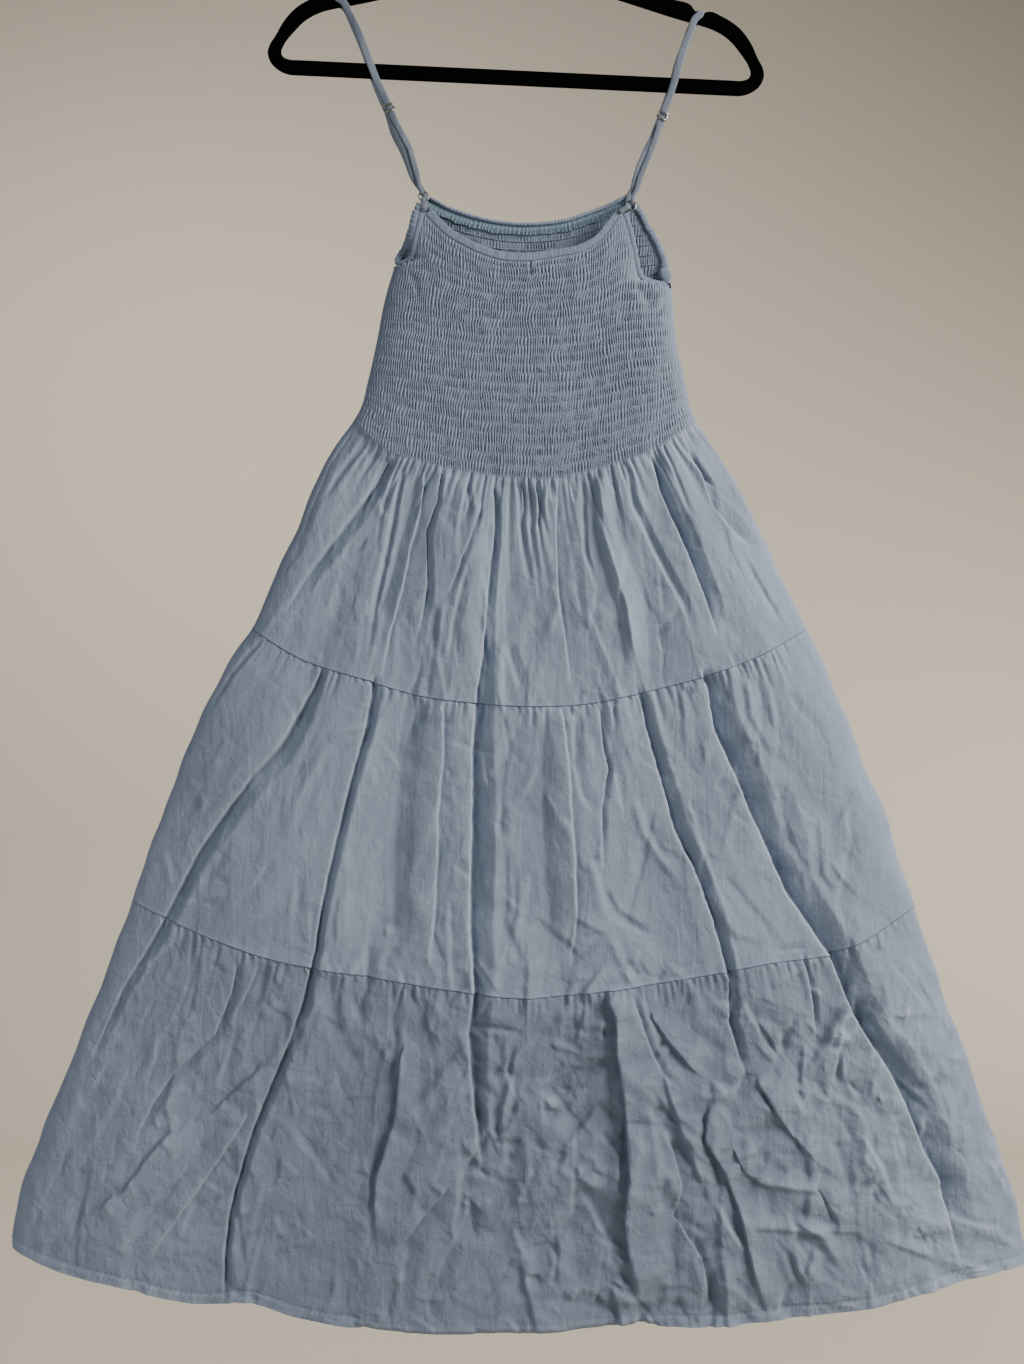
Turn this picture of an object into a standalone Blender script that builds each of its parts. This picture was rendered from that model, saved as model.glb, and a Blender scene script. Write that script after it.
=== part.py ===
"""Sundress with a shirred bodice and two gathered tiers, hung by its straps on a slim velvet hanger.

Everything is worked out in millimetres and turned to metres when a mesh is made. X runs to the right
seen from the front, the front faces -Y and +Z is up. The origin is the inside top of the hanger's
hook, so a "drop" is a distance straight down from there. "across" runs from -1 at a panel's left edge
to 1 at its right edge, and "down" from 0 at a panel's upper line to 1 at its lower line.
"""

import math

import bmesh
import bpy
import numpy as np
from mathutils import Matrix, Vector

OBJECT_NAME = "sundress_on_hanger"
MM = 0.001

# Cloth and seams
CLOTH = 1.2
SEAM_GAP = 0.3
FACET_ALLOWANCE = 0.2
SIDE_ROUNDING = 6.0
EDGE_CROWDING = 0.5

# Shirred bodice: rows of elastic, and the gathers between them
FRONT_ELASTICS = 24
BACK_ELASTICS = 26
FRONT_GATHERS = 28
BACK_GATHERS = 20
INSIDE_ROWS = {"front": (0, 3, 5, 6, 7, 8, 16, 24), "back": (0, 4, 8, 10, 18, 26)}
PUFF_HEIGHT = 1.1
PUFF_LEAN = 0.28

# Gathers under the two seams, counted for each panel
MIDDLE_GATHERS = {"front": 26, "back": 16}
LOWER_GATHERS = {"front": 28, "back": 18}
SEAM_GATHER_DEPTH = 1.3
SEAM_GATHER_LENGTH = 26.0
WAIST_GATHER_DEPTH = 1.6
WAIST_GATHER_LENGTH = 48.0

# Edge finishes
NECK_BAND_HEIGHT = 7.5
NECK_BAND_THICKNESS = 2.2
BACK_BAND_HEIGHT = 10.0
BACK_BAND_THICKNESS = 1.6
BACK_BAND_RUFFLES = 21
ARM_BINDING_WIDTH = 5.0
ARM_BINDING_GAP = 0.6
ARM_BINDING_THICKNESS = 2.4
UNDERARM_LIFT = 0.9

# Straps, their sliders and rings
STRAP_WIDTH = 6.5
STRAP_THICKNESS = 1.2
STRAP_WIDTH_AT_RING = 4.6
RING_RADIUS = 4.2
RING_WIRE = 0.75
STRAP_LOOP_RADIUS = 2.2
TAB_WIDTH = 4.6
TAB_LOOP_RADIUS = 2.45
TAB_LENGTH = 7.8
RING_PLANE = -8.45
STRAND_SPREAD = 0.95
STRAND_ASIDE = 0.8
STRAND_JOIN = 14.0
LOOP_MOUTH = 4.5
LOOP_MOUTH_DEPTH = 1.7
SLIDER_HEIGHT = 7.5
SLIDER_BAR = 0.6
SLIDER_SIDE = 1.0

# Hanger
HANGER_TILT = math.radians(2.7)
HANGER_THICKNESS = 5.0
HANGER_EDGE = 1.1
HOOK_WIRE = 1.8
HOOK_RADIUS = 20.0
HOOK_NECK_DROP = 52.0
BOSS_DROP = 100.0


def table(columns, *rows):
    """A small table: a row for each section or fold, read by the names of its columns."""
    return np.array(list(rows), dtype=[(name, float) for name in columns.split()])


# Where the seams cross the panels: the drop of each line at places across the panel.
LINES = table(
    "across neck_front neck_back waist upper_seam lower_seam",
    (-1.0, 352, 336.8, 534, 719, 963),
    (-0.8, 370, 347, 563, 748, 991),
    (-0.6, 381, 354, 572, 764, 1014),
    (-0.4, 389, 359, 580, 779, 1026),
    (-0.2, 394, 362, 585, 786, 1037),
    (0.0, 395, 363, 588, 789, 1045),
    (0.2, 393, 362, 587, 787, 1039),
    (0.4, 390, 359, 580, 777, 1029),
    (0.6, 386, 353, 570, 764, 1016),
    (0.8, 375, 346, 557, 746, 1005),
    (1.0, 352, 336.8, 534, 720, 968),
)

# The hem dips and lifts between the ends of the side seams.
HEM = table(
    "across front back",
    (-1.00, 1275, 1275),
    (-0.90, 1290, 1287),
    (-0.77, 1301, 1297),
    (-0.60, 1315, 1309),
    (-0.53, 1312, 1314),
    (-0.42, 1326, 1319),
    (-0.30, 1338, 1326),
    (0.00, 1341, 1334),
    (0.17, 1337, 1331),
    (0.38, 1334, 1325),
    (0.52, 1328, 1318),
    (0.66, 1318, 1309),
    (0.80, 1302, 1301),
    (0.90, 1294, 1295),
    (1.00, 1288, 1288),
)

# Side seams, from the underarm to the hem.
SIDE_SEAMS = table(
    "drop left right",
    (391, -118, 127),
    (425, -128, 131),
    (461, -135, 134),
    (497, -143, 142),
    (525, -151, 148),
    (538, -159, 154),
    (551, -169, 163),
    (587, -190, 185),
    (623, -204, 204),
    (659, -221, 222),
    (719, -248, 251),
    (767, -278, 274),
    (821, -303, 294),
    (875, -324, 317),
    (929, -345, 336),
    (965, -356, 347),
    (1019, -375, 364),
    (1073, -398, 384),
    (1127, -418, 403),
    (1181, -440, 422),
    (1235, -458, 441),
    (1290, -464, 450),
)

# Armhole edges of the two panels, from the corner of the neck to the underarm.
ARMHOLES = {
    ("front", "left"): table(
        "drop out", (338, -90.5), (349, -91.5), (361, -95), (373, -97.5), (390, -100)
    ),
    ("front", "right"): table(
        "drop out", (350, 85), (360, 89), (371, 91.5), (384, 94.5), (398, 96.5), (406, 99)
    ),
    ("back", "left"): table(
        "drop out", (334, -94.5), (349, -100.5), (359, -103), (373, -107), (390, -116)
    ),
    ("back", "right"): table(
        "drop out", (333, 94.5), (346, 101), (358, 107.5), (369, 114), (379, 119.5), (406, 127)
    ),
}
# The side seams start at the end of this row of front elastic.
UNDERARM_ROW = {"left": 6, "right": 8}

# How far the panels stand off the plane of the side seams, and the free edges of the armholes.
DEPTHS = table(
    "drop front back",
    (336, 9.5, 5.0),
    (392, 12.0, 6.0),
    (534, 14.0, 8.0),
    (588, 16.0, 9.0),
    (719, 19.0, 10.0),
    (965, 22.0, 12.0),
    (1341, 24.0, 13.0),
)
CORNER_DEPTH = {"front": 9.0, "back": 5.0}

# Main folds of the skirt: a trough has a positive depth and a ridge a negative one. "lean" makes the
# side towards +X (or, below zero, towards -X) the steeper one.
FOLDS = {
    "front": table(
        "top x_top foot x_foot bow width depth lean",
        (606, -32, 1150, -40, -3, 9, 6.5, 0.0),
        (600, -92, 1310, -262, -6, 13, -4.5, 0.5),
        (570, -122, 730, -218, 4, 14, 5.5, 0.3),
        (572, -108, 760, -140, 0, 7, 3.5, 0.3),
        (588, -76, 745, -88, 0, 7, 3.5, -0.2),
        (604, -42, 740, -76, 4, 7, 3.0, 0.2),
        (735, -176, 1040, -356, 8, 17, 6.5, 0.4),
        (780, -106, 985, -104, 5, 13, 4.5, -0.3),
        (780, -250, 930, -300, 4, 12, 4.0, 0.3),
        (585, 58, 800, 92, -3, 8, 3.5, -0.3),
        (585, 88, 770, 140, -4, 8, 4.0, -0.3),
        (565, 110, 760, 176, -5, 11, 7.0, -0.5),
        (562, 144, 690, 216, -4, 8, 4.5, -0.3),
        (650, 194, 760, 234, 0, 9, 4.0, -0.3),
        (790, 26, 985, 34, 3, 10, 4.5, -0.2),
        (800, 64, 960, 68, 0, 6, 3.5, 0.0),
        (782, 96, 1000, 164, -6, 9, -4.0, -0.4),
        (765, 154, 1280, 392, 12, 17, 7.5, -0.5),
        (760, 184, 1000, 264, -5, 8, 3.5, -0.3),
        (1040, 60, 1300, 90, -8, 10, -5.0, 0.3),
        (1040, -150, 1290, -320, 6, 14, 5.0, 0.4),
        (1060, 130, 1325, 190, 5, 12, 5.0, -0.4),
        (1045, -85, 1250, -70, 6, 13, 4.0, 0.2),
        (1030, 240, 1300, 300, -6, 11, -4.5, -0.3),
    ),
    "back": table(
        "top x_top foot x_foot bow width depth lean",
        (600, -20, 1336, -48, 5, 14, 5.0, 0.0),
        (590, -96, 1310, -240, 4, 16, 5.5, 0.3),
        (575, 70, 1330, 128, -6, 15, 5.5, -0.3),
        (565, 120, 1300, 286, -4, 16, -4.5, -0.3),
        (570, -126, 1290, -352, 5, 15, -4.5, 0.3),
        (600, 24, 1000, 40, 0, 11, -4.0, 0.0),
        (590, -56, 1040, -128, 0, 12, -4.0, 0.0),
        (760, 150, 1290, 366, 0, 14, 5.0, -0.4),
        (780, -206, 1060, -300, 0, 13, 5.0, 0.4),
        (1045, 20, 1330, 34, 0, 12, 4.5, 0.0),
    ),
}

# Strap routes on the front, from the ring up to the hanger's notch: place, drop and depth.
STRAP_ROUTES = {
    "left": table(
        "x drop y",
        (-92.2, 335.8, RING_PLANE),
        (-103, 311, -7.8),
        (-110, 293, -7.2),
        (-119, 275, -6.6),
        (-124.6, 257, -6.0),
        (-135.5, 231, -4.2),
        (-148.5, 195, -3.8),
        (-155.7, 177, -3.6),
        (-166.5, 156.5, -3.6),
    ),
    "right": table(
        "x drop y",
        (92.6, 343.9, RING_PLANE),
        (101, 311, -7.8),
        (108, 293, -7.2),
        (115, 275, -6.6),
        (120, 261, -6.0),
        (129, 236, -4.2),
        (138.5, 204, -3.8),
        (145.7, 186, -3.6),
        (152, 171.5, -3.6),
    ),
}
SLIDER_DROP = {"left": 257.0, "right": 263.0}
BACK_CORNER = {"left": (-91.5, 342.0), "right": (91.5, 341.0)}

# Hanger outline, right half, before it is tilted: place and drop.
HANGER_OUTER = table(
    "x drop",
    (8, 100),
    (13, 102.5),
    (18, 108),
    (40, 118.5),
    (90, 134.5),
    (137, 148.5),
    (155.5, 154),
    (157.8, 157),
    (159.8, 159.1),
    (163.2, 159.6),
    (166.6, 160),
    (169, 158.6),
    (172, 158.2),
    (183, 162),
    (200, 172.5),
    (210, 184.5),
    (217, 198),
    (222.4, 208),
    (223.4, 214),
    (220.5, 221.5),
    (213, 228),
    (203, 231.4),
    (195, 231.6),
)
HANGER_INNER = table(
    "x drop",
    (6, 128),
    (24, 133),
    (91, 150.7),
    (151, 166.6),
    (164, 169.6),
    (177, 173.5),
    (190, 180.8),
    (201, 192.4),
    (209.5, 204.5),
    (211.6, 210.5),
    (209.5, 216.5),
    (203, 219),
    (195, 219.1),
)

COLOURS = {
    "cloth": (0.335, 0.415, 0.52),
    "band": (0.36, 0.44, 0.54),
    "metal": (0.62, 0.60, 0.56),
    "velvet": (0.006, 0.006, 0.007),
}


BACKWARDS = np.array([0, 1.0, 0])

# ---------------------------------------------------------------- small helpers


def smooth(places, values, at):
    """A smooth curve through a table's rows, read at one place or at many."""
    places = np.asarray(places, float)
    values = np.asarray(values, float)
    slopes = np.gradient(values, places)
    row = np.clip(np.searchsorted(places, at) - 1, 0, len(places) - 2)
    step = places[row + 1] - places[row]
    t = (np.clip(at, places[0], places[-1]) - places[row]) / step
    blend = t * t * (3 - 2 * t)
    ease_out = t * (1 - t) ** 2 * step
    ease_in = t * t * (t - 1) * step
    ends = values[row] * (1 - blend) + values[row + 1] * blend
    return ends + slopes[row] * ease_out + slopes[row + 1] * ease_in


def smooth_path(points, count):
    """Points at even spacing along a smooth curve, with any further columns that go with them."""
    points = np.asarray(points, float)
    steps = np.linalg.norm(np.diff(points[:, :3], axis=0), axis=1)
    length = np.concatenate([[0], np.cumsum(steps)])
    at = np.linspace(0, length[-1], count)
    return np.stack([smooth(length, column, at) for column in points.T], axis=1)


def unit(vectors):
    return vectors / np.linalg.norm(vectors, axis=-1, keepdims=True)


def mix(first, second, share):
    return first + (second - first) * share


def wave(number):
    """An uneven but repeatable value between -1 and 1 for a numbered gather."""
    return np.sin(number * 2.399 + 0.7) * 0.6 + np.sin(number * 5.13 + 1.9) * 0.4


def world(x, y, drop):
    return np.stack(np.broadcast_arrays(x, y, -np.asarray(drop)), axis=-1)


# ---------------------------------------------------------------- meshes and materials


def material(name, colour, roughness, metallic=0.0):
    made = bpy.data.materials.new(name)
    made.use_nodes = True
    shader = made.node_tree.nodes["Principled BSDF"]
    shader.inputs["Base Color"].default_value = (*colour, 1.0)
    shader.inputs["Roughness"].default_value = roughness
    shader.inputs["Metallic"].default_value = metallic
    made.diffuse_color = (*colour, 1.0)
    return made


def finish(obj, look, parts):
    """Moves an object to the part's collection and gives it a finish of its own."""
    for owner in list(obj.users_collection):
        owner.objects.unlink(obj)
    parts.objects.link(obj)
    obj.data.materials.clear()
    roughness = {"metal": 0.3, "velvet": 0.95}.get(look, 0.85)
    obj.data.materials.append(material(obj.name, COLOURS[look], roughness, float(look == "metal")))


def mesh_object(name, bm, look, parts):
    """Turns a closed mesh in millimetres into an object in metres."""
    bmesh.ops.recalc_face_normals(bm, faces=bm.faces)
    bmesh.ops.scale(bm, vec=(MM, MM, MM), verts=bm.verts)
    mesh = bpy.data.meshes.new(name)
    bm.to_mesh(mesh)
    bm.free()
    mesh.shade_smooth()
    mesh.set_sharp_from_angle(angle=math.radians(50))
    obj = bpy.data.objects.new(name, mesh)
    parts.objects.link(obj)
    finish(obj, look, parts)
    return obj


def zip_rows(bm, first, second, along_first, along_second):
    """Closes the strip between two rows of points with triangles, whatever their counts."""
    i = 0
    j = 0
    while i < len(first) - 1 or j < len(second) - 1:
        at_end = j == len(second) - 1
        if at_end or (i < len(first) - 1 and along_first[i + 1] <= along_second[j + 1]):
            bm.faces.new((first[i], first[i + 1], second[j]))
            i += 1
        else:
            bm.faces.new((first[i], second[j + 1], second[j]))
            j += 1


def wall(name, outer, inner, look, parts, puffs=()):
    """A closed cloth wall between an outer and an inner grid of points.

    Each grid is a list of rows (across, points). The first strips of the outer grid may carry puffs:
    one raised point in each cell, joined to the cell's four corners.
    """
    bm = bmesh.new()
    sides = []
    for grid in (outer, inner):
        sides.append([(across, [bm.verts.new(point) for point in points]) for across, points in grid])
    for side, rows in enumerate(sides):
        for number, (upper, lower) in enumerate(zip(rows, rows[1:])):
            if side == 0 and number < len(puffs):
                for cell, point in enumerate(puffs[number]):
                    top = bm.verts.new(point)
                    ring = (upper[1][cell], upper[1][cell + 1], lower[1][cell + 1], lower[1][cell])
                    for start, end in zip(ring, ring[1:] + ring[:1]):
                        bm.faces.new((start, end, top))
            else:
                zip_rows(bm, upper[1], lower[1], upper[0], lower[0])
    for end in (0, -1):
        zip_rows(bm, sides[0][end][1], sides[1][end][1], sides[0][end][0], sides[1][end][0])
        edges = [[row[1][end] for row in rows] for rows in sides]
        heights = [[-vert.co.z for vert in edge] for edge in edges]
        zip_rows(bm, edges[0], edges[1], heights[0], heights[1])
    return mesh_object(name, bm, look, parts)


def loft(name, path, wide, widths, thicknesses, sides, look, parts):
    """A strip or cord of cloth along a path: an oval or a rectangle turned to its wide direction."""
    steps = unit(np.diff(path, axis=0))
    along = unit(np.vstack([steps[:1], steps]) + np.vstack([steps, steps[-1:]]))
    thin = unit(np.cross(along, wide))
    wide = np.cross(thin, along)
    turns = np.arange(sides) * 2 * math.pi / sides + math.pi / sides
    reach = 1 / math.cos(math.pi / sides) if sides == 4 else 1.0
    bm = bmesh.new()
    rings = []
    for centre, w, t, width, thickness in zip(path, wide, thin, widths, thicknesses):
        ring = []
        for turn in turns:
            offset = w * math.cos(turn) * width / 2 * reach + t * math.sin(turn) * thickness / 2 * reach
            ring.append(bm.verts.new(centre + offset))
        rings.append(ring)
    for first, second in zip(rings, rings[1:]):
        for k in range(sides):
            nxt = (k + 1) % sides
            bm.faces.new((first[k], first[nxt], second[nxt], second[k]))
    bm.faces.new(rings[0][::-1])
    bm.faces.new(rings[-1])
    bmesh.ops.triangulate(bm, faces=bm.faces)
    return mesh_object(name, bm, look, parts)


# ---------------------------------------------------------------- the dress as a surface


def line(name, across, face):
    """The drop of a seam line."""
    if name == "hem":
        return smooth(HEM["across"], HEM[face], across)
    column = f"neck_{face}" if name == "neck" else name
    return smooth(LINES["across"], LINES[column], across)


def underarm(side):
    """The drop where the armhole ends and the side seam starts."""
    end = 0 if side == "left" else -1
    ends = LINES["neck_front"][end], LINES["waist"][end]
    return mix(*ends, UNDERARM_ROW[side] / FRONT_ELASTICS)


def edge(face, side, drop):
    """How far out a panel's edge lies: along the armhole first and then along the side seam."""
    armhole = ARMHOLES[face, side]
    on_armhole = np.interp(drop, armhole["drop"], armhole["out"])
    on_seam = smooth(SIDE_SEAMS["drop"], SIDE_SEAMS[side], drop)
    return np.where(np.asarray(drop) < underarm(side) - 0.5, on_armhole, on_seam)


def edge_depth(face, side, drop):
    """Depth of a panel's edge: the corner's at the top of the armhole, almost none at the side seam."""
    start = ARMHOLES[face, side]["drop"][0]
    share = np.clip((np.asarray(drop) - start) / (underarm(side) - start), 0, 1)
    return mix(CORNER_DEPTH[face], SEAM_GAP / 2, share**2)


def fold_depth(face, x, drop):
    """Sum of the main folds: how far they push the cloth in, negative where they raise it."""
    total = np.zeros_like(x)
    for fold in FOLDS[face]:
        share = (drop - fold["top"]) / (fold["foot"] - fold["top"])
        inside = np.clip(share, 0, 1)
        centre = mix(fold["x_top"], fold["x_foot"], inside) + fold["bow"] * 4 * inside * (1 - inside)
        away = (x - centre) / (fold["width"] * (0.7 + 0.6 * inside))
        away = away * np.where(away * fold["lean"] > 0, 1 + abs(fold["lean"]), 1)
        fade = np.clip(share / 0.12, 0, 1) * np.clip((1.06 - share) / 0.22, 0, 1)
        total += fold["depth"] * np.exp(-(away**2)) * fade * fade * (3 - 2 * fade)
    return total


def surface(face, upper, lower, across, down, gathers=None):
    """Points of a panel's outer surface in the strip between two lines."""
    half_gap = (SEAM_GAP + FACET_ALLOWANCE) / 2
    gap_up = half_gap if upper in ("upper_seam", "lower_seam") else 0.0
    gap_low = -half_gap if lower in ("upper_seam", "lower_seam") else 0.0

    def drop_at(place):
        return mix(line(upper, place, face) + gap_up, line(lower, place, face) + gap_low, down)

    drop = drop_at(across)
    left_drop = drop_at(-1.0)
    right_drop = drop_at(1.0)
    left = edge(face, "left", left_drop)
    right = edge(face, "right", right_drop)
    x = mix(left, right, (across + 1) / 2)
    rounding = np.sqrt(np.clip(1 - np.abs(across) ** SIDE_ROUNDING, 0, 1))
    rim = mix(edge_depth(face, "left", left_drop), edge_depth(face, "right", right_drop), (across + 1) / 2)
    full = smooth(DEPTHS["drop"], DEPTHS[face], drop)
    pushed = fold_depth(face, x, drop) if lower != "waist" else 0.0
    depth = mix(rim, full, rounding) - pushed * rounding
    if gathers is not None:
        depth = depth + gathers * rounding
    return world(x, -depth if face == "front" else depth, drop)


def inside_of(points, face):
    """The same row moved in by the cloth's thickness, square to the row as seen from above."""
    run = np.gradient(points[:, :2], axis=0)
    inward = unit(np.stack([-run[:, 1], run[:, 0]], axis=1))
    if face == "back":
        inward = -inward
    moved = points.copy()
    moved[:, :2] += inward * CLOTH
    limit = SEAM_GAP / 2
    at_seam = np.abs(points[:, 1]) < limit * 1.5
    seam_y = -limit if face == "front" else limit
    moved[:, 1] = np.where(at_seam, seam_y, moved[:, 1])
    return moved


def columns(count):
    """Places across a panel, a little closer together towards its edges."""
    even = np.linspace(-1, 1, count + 1)
    return (1 - EDGE_CROWDING) * even + EDGE_CROWDING * np.sin(even * math.pi / 2)


def gather_ridges(count, distance, depth, length):
    """Short gathers: a ridge at every odd column, fading out below the seam."""
    number = np.arange(count + 1)
    reach = length * (1 + 0.45 * wave(number // 2))
    rise = np.clip(distance / 3.0, 0, 1)
    fade = np.clip(1 - distance / reach, 0, 1)
    return np.where(number % 2 == 1, depth, -0.4 * depth) * rise * fade


def upper_panel(face, elastics, gathers, skirt_places, parts):
    """Bodice and first tier, cut in one piece: shirred above the waist and loose below it."""
    corners = columns(gathers)
    outer = []
    puffs = []
    for row in range(elastics + 1):
        lean = PUFF_LEAN * (corners[1] - corners[0]) * np.sin(row * 1.7 + np.arange(gathers + 1) * 0.9)
        across = corners + lean * (1 - corners**4)
        outer.append((across, surface(face, "neck", "waist", across, row / elastics)))
    out = -1 if face == "front" else 1
    for upper, lower in zip(outer, outer[1:]):
        middle = (upper[1][:-1] + upper[1][1:] + lower[1][:-1] + lower[1][1:]) / 4
        number = np.arange(gathers) + 3 * len(puffs)
        middle[:, 1] += out * PUFF_HEIGHT * (1 + 0.25 * wave(number))
        puffs.append(middle)
    inner = []
    for row in INSIDE_ROWS[face]:
        inner.append((corners, inside_of(surface(face, "neck", "waist", corners, row / elastics), face)))
    inner[-1] = (corners, inside_of(outer[-1][1], face))
    inner[0] = (corners, inside_of(outer[0][1], face))
    both = np.sort(np.concatenate([corners, (corners[:-1] + corners[1:]) / 2]))
    waist_to_seam = float(line("upper_seam", 0.0, face) - line("waist", 0.0, face))
    for share in skirt_places:
        ridges = gather_ridges(2 * gathers, share * waist_to_seam, WAIST_GATHER_DEPTH, WAIST_GATHER_LENGTH)
        points = surface(face, "waist", "upper_seam", both, share, ridges)
        outer.append((both, points))
        inner.append((both, inside_of(points, face)))
    return wall(f"upper_{face}", outer, inner, "cloth", parts, puffs)


def tier_panel(name, face, upper, lower, gathers, places, parts):
    """A gathered tier: its top edge is drawn up into short gathers under the seam."""
    count = 2 * gathers
    across = columns(count)
    height = float(line(lower, 0.0, face) - line(upper, 0.0, face))
    outer = []
    inner = []
    for share in places:
        ridges = gather_ridges(count, share * height, SEAM_GATHER_DEPTH, SEAM_GATHER_LENGTH)
        points = surface(face, upper, lower, across, share, ridges)
        outer.append((across, points))
        inner.append((across, inside_of(points, face)))
    return wall(f"{name}_{face}", outer, inner, "cloth", parts)


# ---------------------------------------------------------------- edge finishes


def neck_edge(face, count):
    """The top edge of a panel and the direction in its own plane that leads off the cloth."""
    points = surface(face, "neck", "waist", columns(count), 0.0)
    run = np.gradient(points, axis=0)
    away = unit(np.stack([-run[:, 2], np.zeros(len(run)), run[:, 0]], axis=1))
    return points, away


def neck_band_front(parts):
    """Plain binding along the front neck."""
    points, away = neck_edge("front", FRONT_GATHERS)
    centre = points + away * (SEAM_GAP + FACET_ALLOWANCE + NECK_BAND_HEIGHT / 2)
    centre[:, 1] += CLOTH - NECK_BAND_THICKNESS / 2
    count = len(points)
    heights = np.full(count, NECK_BAND_HEIGHT)
    thick = np.full(count, NECK_BAND_THICKNESS)
    loft("neck_band_front", centre, away, heights, thick, 4, "cloth", parts)


def neck_band_back(parts):
    """Turned-in band along the back neck, with a ruffled, overlocked edge."""
    points, away = neck_edge("back", 2 * BACK_BAND_RUFFLES)
    ruffle = np.where(np.arange(len(points)) % 2 == 1, 0.5, -0.5)
    centre = points + away * (SEAM_GAP + FACET_ALLOWANCE + BACK_BAND_HEIGHT / 2)
    centre[:, 1] += ruffle - CLOTH / 2
    count = len(points)
    heights = np.full(count, BACK_BAND_HEIGHT)
    thick = np.full(count, BACK_BAND_THICKNESS)
    loft("neck_band_back", centre, away, heights, thick, 4, "band", parts)


def armhole_edge(face, side):
    """The rows' ends along an armhole, from the neck's corner to the top of the side seam."""
    elastics = FRONT_ELASTICS if face == "front" else BACK_ELASTICS
    end = -1.0 if side == "left" else 1.0
    rows = []
    for row in range(elastics + 1):
        point = surface(face, "neck", "waist", np.array([end]), row / elastics)[0]
        rows.append(point)
        if -point[2] > underarm(side) - 0.5:
            break
    return np.array(rows)


def offset_edge(points, side, distance):
    """Moves a panel's edge out of its panel, square to the edge as seen from the front."""
    flat = points[:, (0, 2)]
    run = unit(np.diff(flat, axis=0))
    turn = 1 if side == "right" else -1
    square = np.stack([-run[:, 1], run[:, 0]], axis=1) * turn
    first = np.vstack([square[:1], square])
    second = np.vstack([square, square[-1:]])
    both = unit(first + second)
    both = both / np.clip(np.sum(both * first, axis=1, keepdims=True), 0.7, 1)
    moved = points.copy()
    moved[:, (0, 2)] += both * distance
    return moved, np.stack([both[:, 0], np.zeros(len(both)), both[:, 1]], axis=1)


def armhole_binding(side, parts):
    """Rolled binding that runs down the front edge, turns under the arm and runs up the back edge."""
    distance = ARM_BINDING_GAP + ARM_BINDING_WIDTH / 2
    turn = ARM_BINDING_THICKNESS / 2 + ARM_BINDING_GAP
    front, front_out = offset_edge(armhole_edge("front", side), side, distance)
    back, back_out = offset_edge(armhole_edge("back", side), side, distance)
    front[:, 1] = np.minimum(front[:, 1] + CLOTH / 2, -turn)
    back[:, 1] = np.maximum(back[:, 1] - CLOTH / 2, turn)
    under_out = unit(front_out[-1] + back_out[-1])
    under = (front[-1] + back[-1]) / 2 + under_out * UNDERARM_LIFT
    down = np.array([under_out[2], 0, -under_out[0]]) * (1 if side == "right" else -1)
    bend = []
    for degrees in range(-90, 91, 45):
        angle = math.radians(degrees)
        bend.append(under + turn * (down * (math.cos(angle) - 1) + BACKWARDS * math.sin(angle)))
    path = np.vstack([front[:-1], bend, back[:-1][::-1]])
    out = np.vstack([front_out[:-1], [under_out] * len(bend), back_out[:-1][::-1]])
    widths = np.full(len(path), ARM_BINDING_WIDTH)
    thick = np.full(len(path), ARM_BINDING_THICKNESS)
    loft(f"armhole_binding_{side}", path, out, widths, thick, 6, "cloth", parts)


# ---------------------------------------------------------------- hanger


def tilted(x, y, drop):
    """A point of the hanger, which hangs a little lower on its right."""
    cos = math.cos(HANGER_TILT)
    sin = math.sin(HANGER_TILT)
    return np.array([x * cos - drop * sin, y, -(x * sin + drop * cos)])


def hanger_body(parts):
    """Flat loop of two sloping arms and a bar, with a notch for a strap in each arm."""
    curve = bpy.data.curves.new("hanger_body", "CURVE")
    curve.dimensions = "2D"
    curve.fill_mode = "BOTH"
    curve.extrude = (HANGER_THICKNESS / 2 - HANGER_EDGE) * MM
    curve.bevel_depth = HANGER_EDGE * MM
    curve.bevel_resolution = 0
    curve.offset = -HANGER_EDGE * MM
    for outline in (HANGER_OUTER, HANGER_INNER):
        right = list(zip(outline["x"], outline["drop"]))
        left = [(-x, drop) for x, drop in reversed(right)]
        spline = curve.splines.new("POLY")
        spline.points.add(len(right) + len(left) - 1)
        for point, (x, drop) in zip(spline.points, right + left):
            point.co = (x * MM, -drop * MM, 0, 1)
        spline.use_cyclic_u = True
    flat = bpy.data.objects.new("hanger_outline", curve)
    bpy.context.scene.collection.objects.link(flat)
    bpy.context.view_layer.update()
    evaluated = flat.evaluated_get(bpy.context.evaluated_depsgraph_get())
    mesh = bpy.data.meshes.new_from_object(evaluated)
    bpy.data.objects.remove(flat)
    bm = bmesh.new()
    bm.from_mesh(mesh)
    bmesh.ops.remove_doubles(bm, verts=bm.verts, dist=0.01 * MM)
    bmesh.ops.recalc_face_normals(bm, faces=bm.faces)
    bm.to_mesh(mesh)
    bm.free()
    mesh.shade_smooth()
    mesh.set_sharp_from_angle(angle=math.radians(50))
    body = bpy.data.objects.new("hanger_body", mesh)
    parts.objects.link(body)
    stand_up = Matrix.Rotation(math.pi / 2, 4, "X")
    body.matrix_world = Matrix.Rotation(HANGER_TILT, 4, "Y") @ stand_up
    finish(body, "velvet", parts)


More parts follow.
